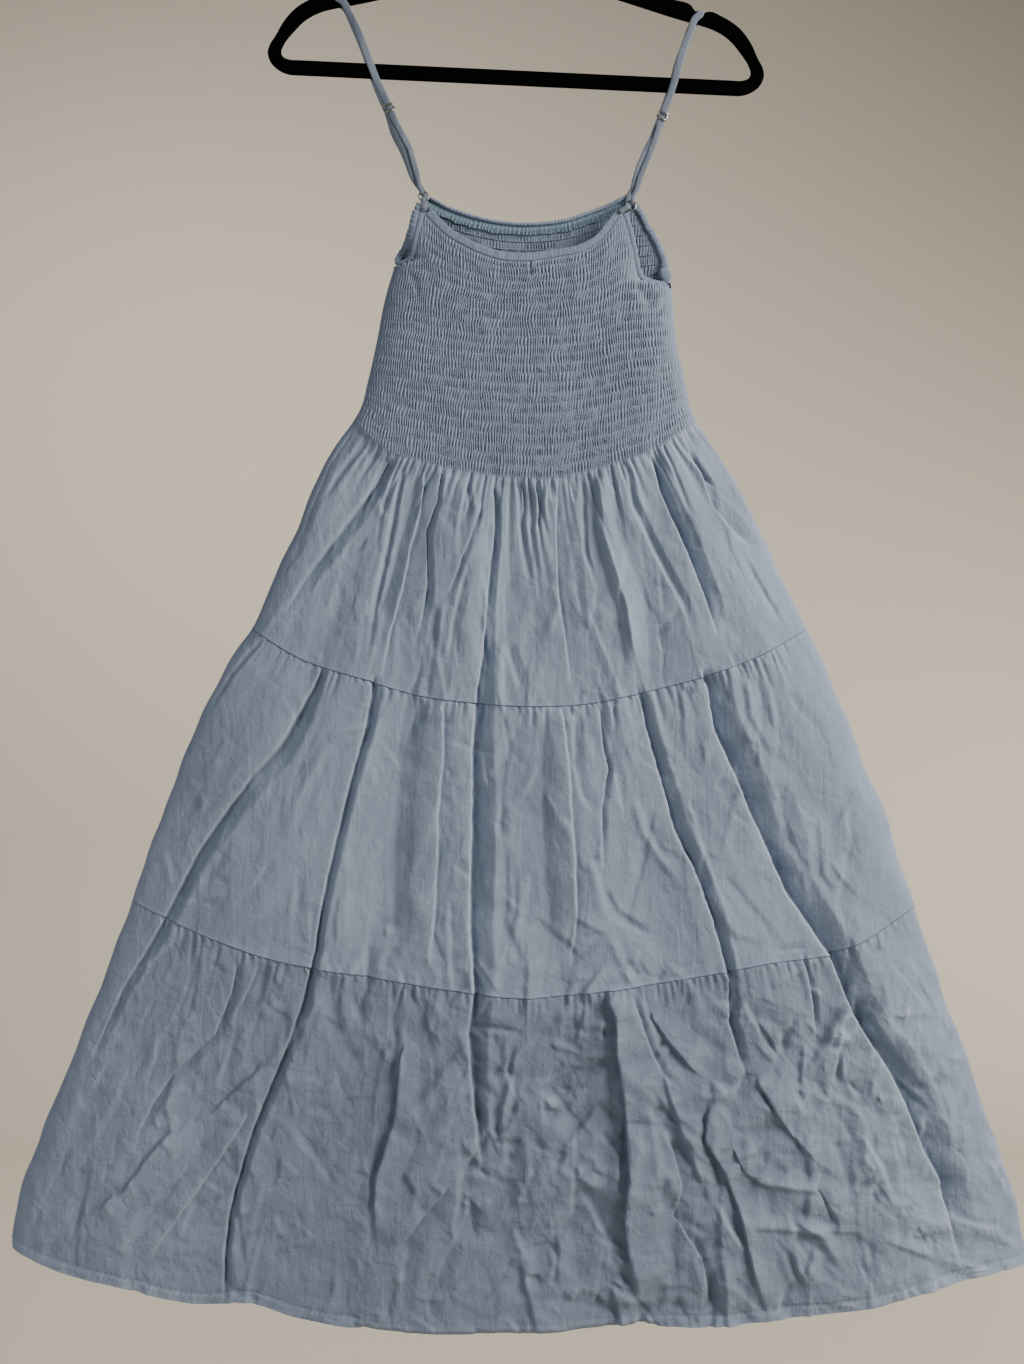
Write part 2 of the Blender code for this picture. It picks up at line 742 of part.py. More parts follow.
def hanger_hook(parts):
    """Swivel hook of round wire: a stem, a neck and three quarters of a turn over the top."""
    centre = HOOK_RADIUS - HOOK_WIRE
    points = [(0, BOSS_DROP - SEAM_GAP), (0, 76), (0, 64)]
    points += [(1.5, HOOK_NECK_DROP + 3), (6.5, HOOK_NECK_DROP - 6)]
    for degrees in range(-50, 196, 20):
        angle = math.radians(degrees)
        points.append((HOOK_RADIUS * math.cos(angle), centre - HOOK_RADIUS * math.sin(angle)))
    curve = bpy.data.curves.new("hanger_hook", "CURVE")
    curve.dimensions = "3D"
    curve.bevel_depth = HOOK_WIRE * MM
    curve.bevel_resolution = 1
    curve.use_fill_caps = True
    spline = curve.splines.new("POLY")
    spline.points.add(len(points) - 1)
    for point, (x, drop) in zip(spline.points, points):
        point.co = (*(tilted(x, 0, drop) * MM), 1)
    hook = bpy.data.objects.new("hanger_hook", curve)
    parts.objects.link(hook)
    finish(hook, "metal", parts)


# ---------------------------------------------------------------- straps


def strap_route(side):
    """The front route of a strap: it starts at the ring's centre."""
    route = STRAP_ROUTES[side]
    return world(route["x"], route["y"], route["drop"])


def strap_frame(side):
    """A strap's direction up from the ring, and its flat direction there."""
    up = unit((strap_route(side)[1] - strap_route(side)[0]) * (1, 0, 1))
    return up, np.array([up[2], 0, -up[0]])


def along_route(points, drops):
    """Points of a route at the given drops."""
    upside = points[::-1]
    return np.stack([smooth(-upside[:, 2], values, drops) for values in upside.T], axis=1)


def notch(side):
    """Where a strap lies over the hanger's arm: the middle of the notch's floor."""
    return tilted(-163.2 if side == "left" else 163.2, 0, 159.6)


def strap(side, parts):
    """One strap: from the slider down to the ring, round it, up through the slider, over and down."""
    points = strap_route(side)
    up, wide = strap_frame(side)
    ring_centre = points[0]
    ring_drop = -ring_centre[2]
    join_drop = ring_drop - STRAND_JOIN
    slider = SLIDER_DROP[side]
    forward = wide * STRAND_ASIDE - BACKWARDS * STRAND_SPREAD

    rear_drops = np.linspace(slider + SLIDER_HEIGHT / 2 + SEAM_GAP, join_drop, 6)
    aside = np.linspace(STRAND_ASIDE, -STRAND_ASIDE, 6)[:, None]
    rear = along_route(points, rear_drops) + BACKWARDS * STRAND_SPREAD + wide * aside
    loop_centre = ring_centre + up * (RING_RADIUS - RING_WIRE / 2)
    mouth = loop_centre + up * LOOP_MOUTH
    loop = [mouth + BACKWARDS * LOOP_MOUTH_DEPTH]
    for degrees in range(0, 181, 30):
        angle = math.radians(degrees)
        loop.append(loop_centre + STRAP_LOOP_RADIUS * (BACKWARDS * math.cos(angle) - up * math.sin(angle)))
    loop.append(mouth - BACKWARDS * LOOP_MOUTH_DEPTH)
    front = along_route(points, np.linspace(join_drop, slider, 6)) + forward

    top = notch(side)
    top_drop = -top[2]
    high_drops = np.linspace(slider - 12, top_drop + 6, 8)
    high = along_route(points, high_drops) + np.linspace(1, 0, 8)[:, None] * forward
    rest = STRAP_THICKNESS / 2 + SEAM_GAP
    side_y = HANGER_THICKNESS / 2 + rest + FACET_ALLOWANCE
    over = [(-side_y, 2.4), (-side_y + 0.2, 0.6), (-2.5, -rest + 0.3), (-1.2, -rest), (0, -rest)]
    over += [(-y, fall) for y, fall in reversed(over[:-1])]
    bridge = [top + np.array([0, y, -fall]) for y, fall in over]
    down = along_route(points, np.linspace(top_drop + 6, ring_drop - 24, 9))
    down[:, 1] = side_y
    corner_x, corner_drop = BACK_CORNER[side]
    end = np.array([[corner_x, 1.9, -corner_drop + 8], [corner_x, 1.7, -corner_drop]])

    path = np.vstack([rear, loop, front, high, bridge, down, end])
    from_ring = np.linalg.norm(path - ring_centre, axis=1)
    widths = mix(STRAP_WIDTH_AT_RING, STRAP_WIDTH, np.clip((from_ring - 8) / 18, 0, 1))
    widths[-len(down) - len(end) :] = STRAP_WIDTH
    thick = np.full(len(path), STRAP_THICKNESS)
    flat = np.tile(tilted(1.0, 0, 0.12 if side == "right" else -0.12), (len(path), 1))
    loft(f"strap_{side}", path, flat, widths, thick, 6, "cloth", parts)


def tab(side, parts):
    """Short loop of cloth that holds the ring to the front corner of the neck."""
    ring_centre = strap_route(side)[0]
    edge_point = surface("front", "neck", "waist", np.array([-1.0 if side == "left" else 1.0]), 0.0)[0]
    corner = edge_point + np.array([0, 0, NECK_BAND_HEIGHT / 2])
    down = unit((corner - ring_centre) * (1, 0, 1))
    centre = ring_centre + down * RING_RADIUS
    foot = centre + down * TAB_LENGTH
    middle = (centre + foot) / 2
    path = [foot - BACKWARDS * TAB_LOOP_RADIUS, middle - BACKWARDS * TAB_LOOP_RADIUS]
    for degrees in range(0, 181, 30):
        angle = math.radians(degrees)
        path.append(centre - TAB_LOOP_RADIUS * (BACKWARDS * math.cos(angle) + down * math.sin(angle)))
    path += [middle + BACKWARDS * TAB_LOOP_RADIUS, foot + BACKWARDS * TAB_LOOP_RADIUS]
    flat = np.tile([-down[2], 0, down[0]], (len(path), 1))
    widths = np.full(len(path), TAB_WIDTH)
    thick = np.full(len(path), STRAP_THICKNESS)
    loft(f"tab_{side}", np.array(path), flat, widths, thick, 6, "cloth", parts)


def ring(side, parts):
    """Small round metal ring between the tab and the strap."""
    bpy.ops.mesh.primitive_torus_add(
        major_segments=14, minor_segments=6, major_radius=RING_RADIUS * MM, minor_radius=RING_WIRE * MM
    )
    made = bpy.context.object
    made.name = f"ring_{side}"
    made.data.name = made.name
    made.location = strap_route(side)[0] * MM
    made.rotation_euler = (math.pi / 2, 0, 0)
    made.data.shade_smooth()
    finish(made, "metal", parts)


def block(name, size, place, cutters):
    """A box with its centre at the given place."""
    bm = bmesh.new()
    bmesh.ops.create_cube(bm, size=1.0)
    bmesh.ops.scale(bm, vec=Vector(size) * MM, verts=bm.verts)
    return helper(name, bm, place, cutters)


def bar(name, length, radius, place, cutters):
    """A round bar along the slider's width."""
    bm = bmesh.new()
    bmesh.ops.create_cone(
        bm, cap_ends=True, segments=10, radius1=radius * MM, radius2=radius * MM, depth=length * MM
    )
    bmesh.ops.rotate(bm, matrix=Matrix.Rotation(math.pi / 2, 3, "Y"), verts=bm.verts)
    return helper(name, bm, place, cutters)


def helper(name, bm, place, cutters):
    """A hidden piece that a Boolean reads."""
    bmesh.ops.translate(bm, vec=Vector(place) * MM, verts=bm.verts)
    mesh = bpy.data.meshes.new(name)
    bm.to_mesh(mesh)
    bm.free()
    obj = bpy.data.objects.new(name, mesh)
    obj.hide_render = True
    obj.display_type = "WIRE"
    cutters.objects.link(obj)
    return obj


def slider(side, parts, cutters):
    """Metal slider: two bars in front of the strap, one behind it and a cheek at each side."""
    drop = SLIDER_DROP[side]
    above, place, below = along_route(strap_route(side), np.array([drop - 8, drop, drop + 8]))
    direction = unit(above - below)
    lean = math.atan2(direction[0], direction[2])
    cheek = STRAP_WIDTH / 2 + SEAM_GAP + SLIDER_SIDE / 2
    clear = STRAP_THICKNESS / 2 + SEAM_GAP + SLIDER_BAR
    deep = 2 * clear + 2 * SLIDER_BAR
    bar_rise = SLIDER_HEIGHT / 2 - SLIDER_BAR
    size = (SLIDER_SIDE, deep, SLIDER_HEIGHT)
    others = bpy.data.collections.new(f"slider_{side}_pieces")
    cutters.children.link(others)
    others.hide_render = True
    block(f"slider_{side}_cheek", size, (cheek, 0, 0), others)
    bar(f"slider_{side}_top", 2 * cheek, SLIDER_BAR, (0, -clear, bar_rise), others)
    bar(f"slider_{side}_foot", 2 * cheek, SLIDER_BAR, (0, -clear, -bar_rise), others)
    bar(f"slider_{side}_middle", 2 * cheek, SLIDER_BAR, (0, clear, 0), others)
    made = block(f"slider_{side}", size, (-cheek, 0, 0), parts)
    made.hide_render = False
    made.display_type = "TEXTURED"
    union = made.modifiers.new("bars", "BOOLEAN")
    union.operation = "UNION"
    union.operand_type = "COLLECTION"
    union.collection = others
    wide = strap_frame(side)[1]
    place = place + wide * STRAND_ASIDE - BACKWARDS * STRAND_SPREAD
    placed = Matrix.Translation(Vector(place * MM)) @ Matrix.Rotation(lean, 4, "Y")
    made.matrix_world = placed
    for piece in others.objects:
        piece.matrix_world = placed
    finish(made, "metal", parts)


# ---------------------------------------------------------------- the whole part


def main():
    for obj in list(bpy.data.objects):
        bpy.data.objects.remove(obj, do_unlink=True)
    parts = bpy.data.collections.new(OBJECT_NAME)
    cutters = bpy.data.collections.new("cutters")
    bpy.context.scene.collection.children.link(parts)
    bpy.context.scene.collection.children.link(cutters)
    cutters.hide_render = True

    upper_panel("front", FRONT_ELASTICS, FRONT_GATHERS, (0.03, 0.1, 0.24, 0.48, 0.74, 1), parts)
    upper_panel("back", BACK_ELASTICS, BACK_GATHERS, (0.03, 0.12, 0.36, 0.68, 1), parts)
    front_places = (0, 0.02, 0.07, 0.15, 0.34, 0.56, 0.78, 1)
    back_places = (0, 0.02, 0.09, 0.36, 0.68, 1)
    for face, places in (("front", front_places), ("back", back_places)):
        tier_panel(
            "middle_tier", face, "upper_seam", "lower_seam", MIDDLE_GATHERS[face], places, parts
        )
        tier_panel("lower_tier", face, "lower_seam", "hem", LOWER_GATHERS[face], places, parts)
    neck_band_front(parts)
    neck_band_back(parts)
    hanger_body(parts)
    hanger_hook(parts)
    for side in ("left", "right"):
        armhole_binding(side, parts)
        strap(side, parts)
        tab(side, parts)
        ring(side, parts)
        slider(side, parts, cutters)


main()
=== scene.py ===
import math

import bmesh
import bpy
import numpy as np
from mathutils import Matrix

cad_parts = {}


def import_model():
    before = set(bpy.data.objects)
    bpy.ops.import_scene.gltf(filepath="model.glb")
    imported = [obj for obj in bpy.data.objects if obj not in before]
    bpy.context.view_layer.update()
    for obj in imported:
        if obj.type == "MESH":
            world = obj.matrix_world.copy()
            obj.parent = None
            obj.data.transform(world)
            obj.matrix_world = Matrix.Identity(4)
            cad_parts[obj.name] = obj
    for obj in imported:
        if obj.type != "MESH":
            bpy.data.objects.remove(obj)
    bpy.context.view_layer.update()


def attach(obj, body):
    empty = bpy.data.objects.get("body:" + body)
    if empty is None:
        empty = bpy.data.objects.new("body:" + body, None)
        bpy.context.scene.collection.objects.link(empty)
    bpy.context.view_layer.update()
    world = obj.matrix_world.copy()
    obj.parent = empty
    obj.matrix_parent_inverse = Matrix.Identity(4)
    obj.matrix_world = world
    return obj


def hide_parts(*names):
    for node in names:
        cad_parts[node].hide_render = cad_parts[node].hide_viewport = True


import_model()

# Lengths are in millimetres and turn to metres where a mesh is made. "drop" is the distance below the
# hook's rest, and "across" runs from -1 at a panel's left side to 1 at its right, as the front is seen.
MM = 0.001
FACES = ("front", "back")
SIDES = ("left", "right")
BACKWARDS = np.array([0, 1.0, 0])
OUTWARD = {"front": -1.0, "back": 1.0}

# ---------------------------------------------------------------- sizes of the dress


def table(columns, *rows):
    """A small table: a row for each section or fold, read by the names of its columns."""
    return np.array(list(rows), dtype=[(name, float) for name in columns.split()])


# Drops of the neck, the waist and the tier seams across a panel, and of the hem
LINES = table(
    "across neck_front neck_back waist upper_seam lower_seam",
    (-1.0, 352, 336.8, 534, 719, 963),
    (-0.8, 370, 347, 563, 748, 991),
    (-0.6, 381, 354, 572, 764, 1014),
    (-0.4, 389, 359, 580, 779, 1026),
    (-0.2, 394, 362, 585, 786, 1037),
    (0.0, 395, 363, 588, 789, 1045),
    (0.2, 393, 362, 587, 787, 1039),
    (0.4, 390, 359, 580, 777, 1029),
    (0.6, 386, 353, 570, 764, 1016),
    (0.8, 375, 346, 557, 746, 1005),
    (1.0, 352, 336.8, 534, 720, 968),
)
HEM = table(
    "across front back",
    (-1.00, 1275, 1275), (-0.90, 1290, 1287), (-0.77, 1301, 1297), (-0.60, 1315, 1309),
    (-0.53, 1312, 1314), (-0.42, 1326, 1319), (-0.30, 1338, 1326), (0.00, 1341, 1334),
    (0.17, 1337, 1331), (0.38, 1334, 1325), (0.52, 1328, 1318), (0.66, 1318, 1309),
    (0.80, 1302, 1301), (0.90, 1294, 1295), (1.00, 1288, 1288),
)

# How far out the side seams lie, and the armholes' edges above them
SIDE_SEAMS = table(
    "drop left right",
    (391, -118, 127), (425, -128, 131), (461, -135, 134), (497, -143, 142), (525, -151, 148),
    (538, -159, 154), (551, -169, 163), (587, -190, 185), (623, -204, 204), (659, -221, 222),
    (719, -248, 251), (767, -278, 274), (821, -303, 294), (875, -324, 317), (929, -345, 336),
    (965, -356, 347), (1019, -375, 364), (1073, -398, 384), (1127, -418, 403),
    (1181, -440, 422), (1235, -458, 441), (1290, -464, 450),
)
ARMHOLES = {
    ("front", "left"): table(
        "drop out", (338, -90.5), (349, -91.5), (361, -95), (373, -97.5), (390, -100)
    ),
    ("front", "right"): table(
        "drop out", (350, 85), (360, 89), (371, 91.5), (384, 94.5), (398, 96.5), (406, 99), (424, 103)
    ),
    ("back", "left"): table(
        "drop out", (334, -94.5), (349, -100.5), (359, -103), (373, -107), (390, -116)
    ),
    ("back", "right"): table(
        "drop out", (333, 94.5), (346, 101), (358, 107.5), (369, 114), (379, 119.5), (406, 127)
    ),
}

# Rows of elastic, the row where each armhole ends, how softly its edge turns into the side seam, and how
# far the front sags below the arm
ELASTICS = {"front": 24, "back": 26}
UNDERARM_ROW = {"left": 6, "right": 8}
UNDERARM_TURN = 8.0
FRONT_SAG = {"left": 0.0, "right": 3.0}

# How far each face lies off the middle plane, how round it is towards the sides, and how its sides wander
DEPTHS = table(
    "drop front back",
    (336, 9.5, 5.0),
    (392, 12.0, 6.0),
    (534, 14.0, 8.0),
    (588, 16.0, 9.0),
    (719, 19.0, 10.0),
    (965, 22.0, 12.0),
    (1341, 24.0, 13.0),
)
CORNER_DEPTH = {"front": 9.0, "back": 5.0}
SIDE_ROUNDING = 6.0
SIDE_WANDER = 2.2
WAIST_SIDE_DROP = 540.0

# How far a tier laps over the seam below it and under the one above, and how deep the seam draws it in
SEAM_LAP = {"upper": 0.7, "lower": 1.2}
SEAM_TUCK = 1.6
SEAM_PUFF = 0.35

# Stretch of the front hem that rolls under, and how deep it goes
ROLLED_HEM = (-152.0, 118.0)
ROLLED_DEPTH = 5.0

# Mesh of each panel: columns across, rows down, and how much closer the columns are towards its sides
EDGE_CROWDING = 0.3
COLUMNS = {
    "upper": {"front": 540, "back": 380},
    "middle_tier": {"front": 460, "back": 300},
    "lower_tier": {"front": 560, "back": 360},
}
STEPS_PER_ELASTIC = 4
SKIRT_ROWS = 75
TIER_ROWS = {"middle_tier": {"front": 150, "back": 100}, "lower_tier": {"front": 172, "back": 116}}
SEEDS = {"front": 100, "back": 200}

# Folds and creases of the loose cloth, given one by one: depth of the line, height of the lips beside it as
# a share of that, and width of its left and right slope; then the line's points, as x, drop and a scale
# of the two widths. A trough's depth is positive and a ridge's negative.
FRONT_FOLDS = (
    (8.6, 0.08, 1.9, 19.5, (-30, 592, 0.28), (-29, 632, 0.36), (-33, 668, 0.42), (-36, 701, 0.42),
     (-39, 740, 0.55), (-45, 779, 0.85), (-49, 831), (-49, 879, 1.12), (-50, 920, 1.16),
     (-51, 979, 1.12), (-47, 1041, 0.9), (-52, 1076, 0.95), (-49, 1121, 0.8), (-42, 1182, 0.4),
     (-38, 1218, 0.3)),
    (5.2, 0.15, 2.7, 8.8, (-134, 760, 0.7), (-138, 777, 1.3), (-143, 809, 1.1), (-154, 848),
     (-163, 884, 0.95), (-174, 932, 0.95), (-182, 971, 0.9), (-189, 1013, 0.9), (-199, 1053, 1.2),
     (-211, 1087, 1.1), (-225, 1121), (-241, 1160, 0.9), (-252, 1196, 0.9), (-262, 1233, 0.8),
     (-265, 1262, 0.7), (-266, 1320, 0.6)),
    (7.6, 0.1, 2.1, 15.9, (-179, 753, 0.4), (-193, 780, 0.7), (-204, 800, 0.95), (-219, 826, 1.05),
     (-245, 855, 1.05), (-272, 891), (-292, 920, 0.9), (-319, 973, 0.75), (-341, 1012, 0.6),
     (-361, 1043, 0.55), (-381, 1087, 0.5), (-396, 1119, 0.4)),
    (11, 0.1, 3.5, 25.6, (153, 756, 0.6), (158, 776, 0.85), (164, 811), (180, 844, 1.02),
     (194, 879, 1.08), (211, 915, 1.08), (226, 950), (247, 981, 0.95), (267, 1010, 0.95),
     (285, 1057, 0.95), (301, 1084, 0.95), (319, 1110, 1.1), (333, 1139, 1.12), (349, 1180, 1.08),
     (363, 1205), (368, 1227, 0.95), (377, 1261, 0.95), (388, 1293, 0.8)),
    (6, 0.12, 2.7, 12.4, (96, 770, 0.5), (100, 791, 0.95), (109, 826, 0.9), (119, 861), (129, 899, 1.15),
     (145, 930), (157, 961), (168, 997, 0.9), (176, 1028, 0.8), (177, 1068, 0.8), (190, 1108, 0.7),
     (197, 1135, 0.5)),
    (7, 0.1, 2.7, 12.4, (-120, 565, 0.5), (-136, 595, 0.85), (-156, 622), (-179, 652), (-198, 678, 0.85),
     (-219, 714, 0.55)),
    (3, 0.2, 4.4, 3.5, (-108, 574, 0.7), (-116, 612), (-121, 641), (-128, 674), (-135, 707, 0.9),
     (-140, 739, 0.6)),
    (-5.4, 0.15, 11.5, 3.1, (-91, 579, 0.5), (-97, 618, 0.6), (-106, 652, 0.7), (-113, 687, 0.8),
     (-123, 720, 1.05), (-133, 776, 1.1)),
    (3, 0.2, 3.1, 7.1, (-75, 574, 0.6), (-80, 609, 0.8), (-90, 635, 0.9), (-89, 681, 1.1),
     (-91, 700, 1.2), (-95, 723), (-102, 745, 0.7)),
    (2.6, 0.2, 2.7, 6.2, (-38, 608, 0.6), (-57, 658), (-67, 685), (-80, 699, 0.9)),
    (2.2, 0.1, 7.5, 5.1, (-80, 699, 0.8), (-83, 740, 0.8)),
    (4.2, 0.1, 2.7, 24.8, (27, 588, 0.4), (25, 641, 0.9), (27, 691), (36, 749, 0.9), (41, 785, 0.8)),
    (2, 0.2, 3.6, 3.1, (49, 585, 0.9), (52, 655), (62, 687, 0.8)),
    (-5.6, 0.15, 9.7, 15.9, (63, 581, 0.5), (67, 635, 0.8), (79, 675), (89, 707), (93, 745, 0.9),
     (94, 785, 0.8)),
    (2.6, 0.2, 3.6, 6.1, (87, 568, 0.7), (94, 612, 0.9), (105, 634), (117, 660), (137, 697),
     (150, 736, 0.8)),
    (8, 0.1, 2.7, 15, (109, 563, 0.5), (117, 599, 0.8), (128, 625), (139, 650), (150, 678),
     (161, 705, 0.9), (170, 740, 0.6)),
    (3, 0.2, 2.1, 5.3, (142, 560, 0.8), (155, 586), (173, 598, 0.8)),
    (4.4, 0.12, 3.1, 13.3, (147, 568, 0.5), (165, 612, 0.9), (185, 635), (208, 651, 0.7)),
    (2.2, 0.2, 4.5, 4.1, (192, 655, 0.8), (217, 701), (234, 726, 0.8)),
    (2.8, 0.2, 2.4, 7.5, (-153, 540, 0.8), (-177, 575), (-197, 625), (-212, 665, 0.8)),
    (2.2, 0.2, 3.6, 4.1, (-136, 548, 0.8), (-168, 585), (-189, 618, 0.8)),
    (1.6, 0.2, 2, 4.5, (-156, 655), (-148, 650), (-141, 639)),
    (2.8, 0.2, 3, 5.1, (-51, 590, 0.7), (-52, 615), (-58, 632, 0.6)),
    (2.8, 0.2, 1.8, 9, (-6, 590, 0.8), (-4, 608), (-3, 629, 0.7)),
    (2.8, 0.2, 2.7, 6.1, (7, 590, 0.8), (9, 612), (10, 636, 0.7)),
    (2.4, 0.2, 1.8, 7.5, (19, 588, 0.8), (21, 609, 0.8)),
    (2.4, 0.2, 2.7, 5.1, (38, 586, 0.8), (42, 612, 0.8)),
    (1.7, 0.1, 4, 8.5, (-20, 731), (-13, 749), (-5, 776)),
    (-1.6, 0.1, 6, 4.1, (18, 678), (25, 701), (18, 731)),
    (1.8, 0.1, 3.1, 7.5, (-51, 661), (-64, 714), (-71, 760)),
    (1.6, 0.1, 3.8, 3.6, (100, 731), (117, 725), (139, 701)),
    (3.2, 0.25, 1.9, 3.5, (-233, 728), (-268, 767, 1.1), (-288, 800)),
    (-6, 0.1, 26.5, 10.6, (-79, 785, 0.5), (-84, 833, 0.95), (-89, 879), (-90, 926), (-92, 992, 0.9),
     (-91, 1037, 0.7)),
    (1.9, 0.2, 3.3, 14.2, (-91, 783), (-98, 811)),
    (-6, 0.1, 22.1, 3.5, (28, 788, 0.5), (33, 838, 0.9), (35, 879), (38, 920), (40, 975, 0.9),
     (34, 1037, 0.7)),
    (1.9, 0.2, 2.7, 8.5, (42, 792), (42, 840), (49, 869), (64, 891)),
    (3.2, 0.2, 1.8, 6.2, (62, 786, 0.8), (67, 829), (71, 846), (65, 879), (66, 917), (68, 948, 0.7)),
    (-1.9, 0.2, 4.6, 11.3, (193, 763), (197, 796), (209, 818), (223, 841)),
    (-1.5, 0.2, 8.5, 5.3, (213, 767), (217, 813), (222, 838)),
    (2.4, 0.2, 6.6, 14.2, (220, 855), (232, 908), (248, 933), (261, 975)),
    (1.2, 0.1, 7.1, 4, (255, 886), (259, 938), (277, 966)),
    (-1.5, 0.1, 4, 8.5, (36, 972), (58, 983), (72, 991)),
    (1.5, 0.1, 8.5, 4, (66, 947), (78, 971), (109, 992)),
    (-1.7, 0.1, 5.3, 8.5, (70, 988), (79, 1008), (97, 1043)),
    (1.2, 0.1, 7.1, 3.3, (43, 993), (71, 989)),
    (1.2, 0.1, 3.3, 7.1, (27, 1028), (71, 990)),
    (-1.4, 0.1, 8.5, 4, (52, 917), (64, 951), (66, 970)),
    (1.3, 0.1, 4, 8.5, (41, 966), (34, 997), (36, 1028)),
    (1.3, 0.1, 8.5, 3.3, (48, 924), (68, 924)),
    (-1.5, 0.1, 5.3, 11.3, (93, 870), (103, 902), (124, 933), (144, 958)),
    (1.4, 0.1, 8.5, 5.3, (105, 889), (117, 917), (135, 928)),
    (-1.5, 0.1, 5.3, 11.3, (154, 945), (169, 971), (184, 989), (215, 999)),
    (1.2, 0.1, 8.5, 5.3, (170, 935), (195, 966), (219, 992)),
    (-1.4, 0.1, 5.3, 11.3, (117, 846), (124, 869), (132, 851)),
    (-1.5, 0.1, 8.5, 5.3, (-326, 913), (-316, 953)),
    (-1.4, 0.1, 4, 8.5, (-312, 968), (-289, 960), (-261, 954)),
    (1.4, 0.1, 11.3, 6.6, (-260, 910), (-279, 937), (-289, 949)),
    (1.4, 0.1, 5.3, 17, (-213, 961), (-241, 984), (-263, 1001)),
    (-1.4, 0.1, 7.1, 7.1, (-174, 820), (-201, 873), (-214, 917)),
    (1.5, 0.1, 2.7, 8.5, (-207, 789), (-205, 804), (-197, 795)),
    (1.3, 0.1, 8.5, 4, (-24, 972), (-14, 992), (-3, 1019)),
    (-1.3, 0.1, 4, 8.5, (-5, 966), (-17, 997), (-24, 1019)),
    (1.2, 0.1, 8.5, 4, (-129, 1023), (-120, 1006), (-111, 1001)),
    (1.2, 0.1, 4, 8.5, (-80, 1028), (-70, 1014), (-51, 1006)),
    (3, 0.15, 3.1, 8, (-254, 1011, 0.7), (-261, 1045), (-276, 1080), (-312, 1114), (-330, 1141),
     (-341, 1163), (-348, 1198, 0.7)),
    (2.4, 0.2, 3.2, 17, (-234, 1013), (-245, 1039), (-260, 1066, 0.7)),
    (2.2, 0.12, 17, 6.6, (-229, 1101, 0.7), (-276, 1144), (-320, 1168), (-337, 1189), (-354, 1213),
     (-398, 1243), (-418, 1260, 0.7)),
    (2, 0.2, 3.2, 11.3, (-294, 1193), (-312, 1211), (-332, 1224)),
    (-3.8, 0.06, 15.9, 6.2, (-246, 1144, 0.6), (-289, 1205), (-317, 1243), (-346, 1290, 0.7)),
    (1.7, 0.15, 3.2, 14.2, (-315, 1231), (-344, 1259), (-373, 1282)),
    (1.5, 0.15, 8.5, 5.3, (-259, 1218), (-285, 1227), (-304, 1236)),
    (1.9, 0.15, 3.2, 14.2, (-304, 995), (-334, 1020), (-363, 1045)),
    (1.9, 0.15, 6.8, 5.3, (-376, 1064), (-385, 1087), (-394, 1106)),
    (1.7, 0.15, 3.2, 11.3, (-369, 1106), (-383, 1126), (-394, 1147)),
    (-1.5, 0.12, 11.3, 5.3, (-353, 1106), (-367, 1141), (-381, 1168), (-411, 1218)),
    (2.2, 0.2, 3.2, 11.3, (-264, 1239), (-268, 1267), (-266, 1319)),
    (1.5, 0.12, 8.5, 5.3, (-263, 1265), (-247, 1255), (-226, 1248)),
    (1.5, 0.12, 4, 8.5, (-265, 1296), (-254, 1305), (-235, 1308)),
    (1.9, 0.12, 11.3, 8, (-174, 1023), (-170, 1056), (-159, 1094), (-138, 1109)),
    (1.5, 0.1, 5.3, 11.3, (-204, 1158), (-177, 1198), (-169, 1220)),
    (-1.3, 0.1, 11.3, 5.3, (-198, 1147), (-179, 1150), (-173, 1160)),
    (-1.9, 0.12, 5.3, 14.2, (-66, 1105), (-99, 1144), (-114, 1160)),
    (-4, 0.06, 6.2, 15.9, (-105, 1083, 0.7), (-109, 1148), (-113, 1161), (-126, 1202),
     (-134, 1271, 0.8)),
    (2.4, 0.15, 4, 17, (-67, 1210), (-95, 1242), (-118, 1273)),
    (1.5, 0.12, 8.5, 5.3, (-59, 1152), (-73, 1168), (-87, 1183)),
    (2.6, 0.12, 3.5, 6.2, (-30, 1158), (-56, 1200), (-62, 1258)),
    (2, 0.12, 8.5, 6.6, (-45, 1134), (-40, 1149), (-38, 1165)),
    (1.3, 0.1, 4, 8.5, (-127, 1149), (-111, 1160), (-105, 1174)),
    (1.7, 0.15, 5.7, 4, (-152, 1322), (-151, 1347)),
    (1.9, 0.12, 3.2, 14.2, (44, 1165), (41, 1237), (20, 1261), (-24, 1273)),
    (-7, 0.05, 8.8, 30.1, (70, 1037, 0.5), (84, 1060, 0.8), (87, 1091), (94, 1136), (98, 1200),
     (94, 1237), (101, 1305), (109, 1326, 0.8)),
    (2.8, 0.15, 2.1, 6.2, (91, 1041), (104, 1081), (118, 1112), (137, 1127)),
    (-3.6, 0.06, 5.3, 17.7, (107, 1054, 0.6), (128, 1081), (163, 1123)),
    (-1.5, 0.12, 6.6, 14.2, (113, 1140), (144, 1129), (193, 1135)),
    (-4, 0.06, 5.7, 17.7, (201, 1112, 0.7), (216, 1132), (231, 1156), (251, 1180), (262, 1200, 0.8)),
    (1.9, 0.12, 3.2, 17, (190, 1045), (210, 1084), (232, 1111)),
    (3, 0.15, 2.1, 6.2, (241, 1004, 0.8), (251, 1047), (255, 1091, 0.7)),
    (-1.7, 0.12, 5.3, 11.3, (104, 1134), (124, 1141), (148, 1160), (164, 1166)),
    (-4.6, 0.06, 6.2, 21.2, (162, 1135, 0.6), (162, 1169), (179, 1197), (193, 1234), (200, 1265),
     (207, 1299), (217, 1340, 0.8)),
    (-3.2, 0.06, 5.7, 13.3, (178, 1160), (196, 1197), (210, 1207), (261, 1213), (275, 1237),
     (280, 1271)),
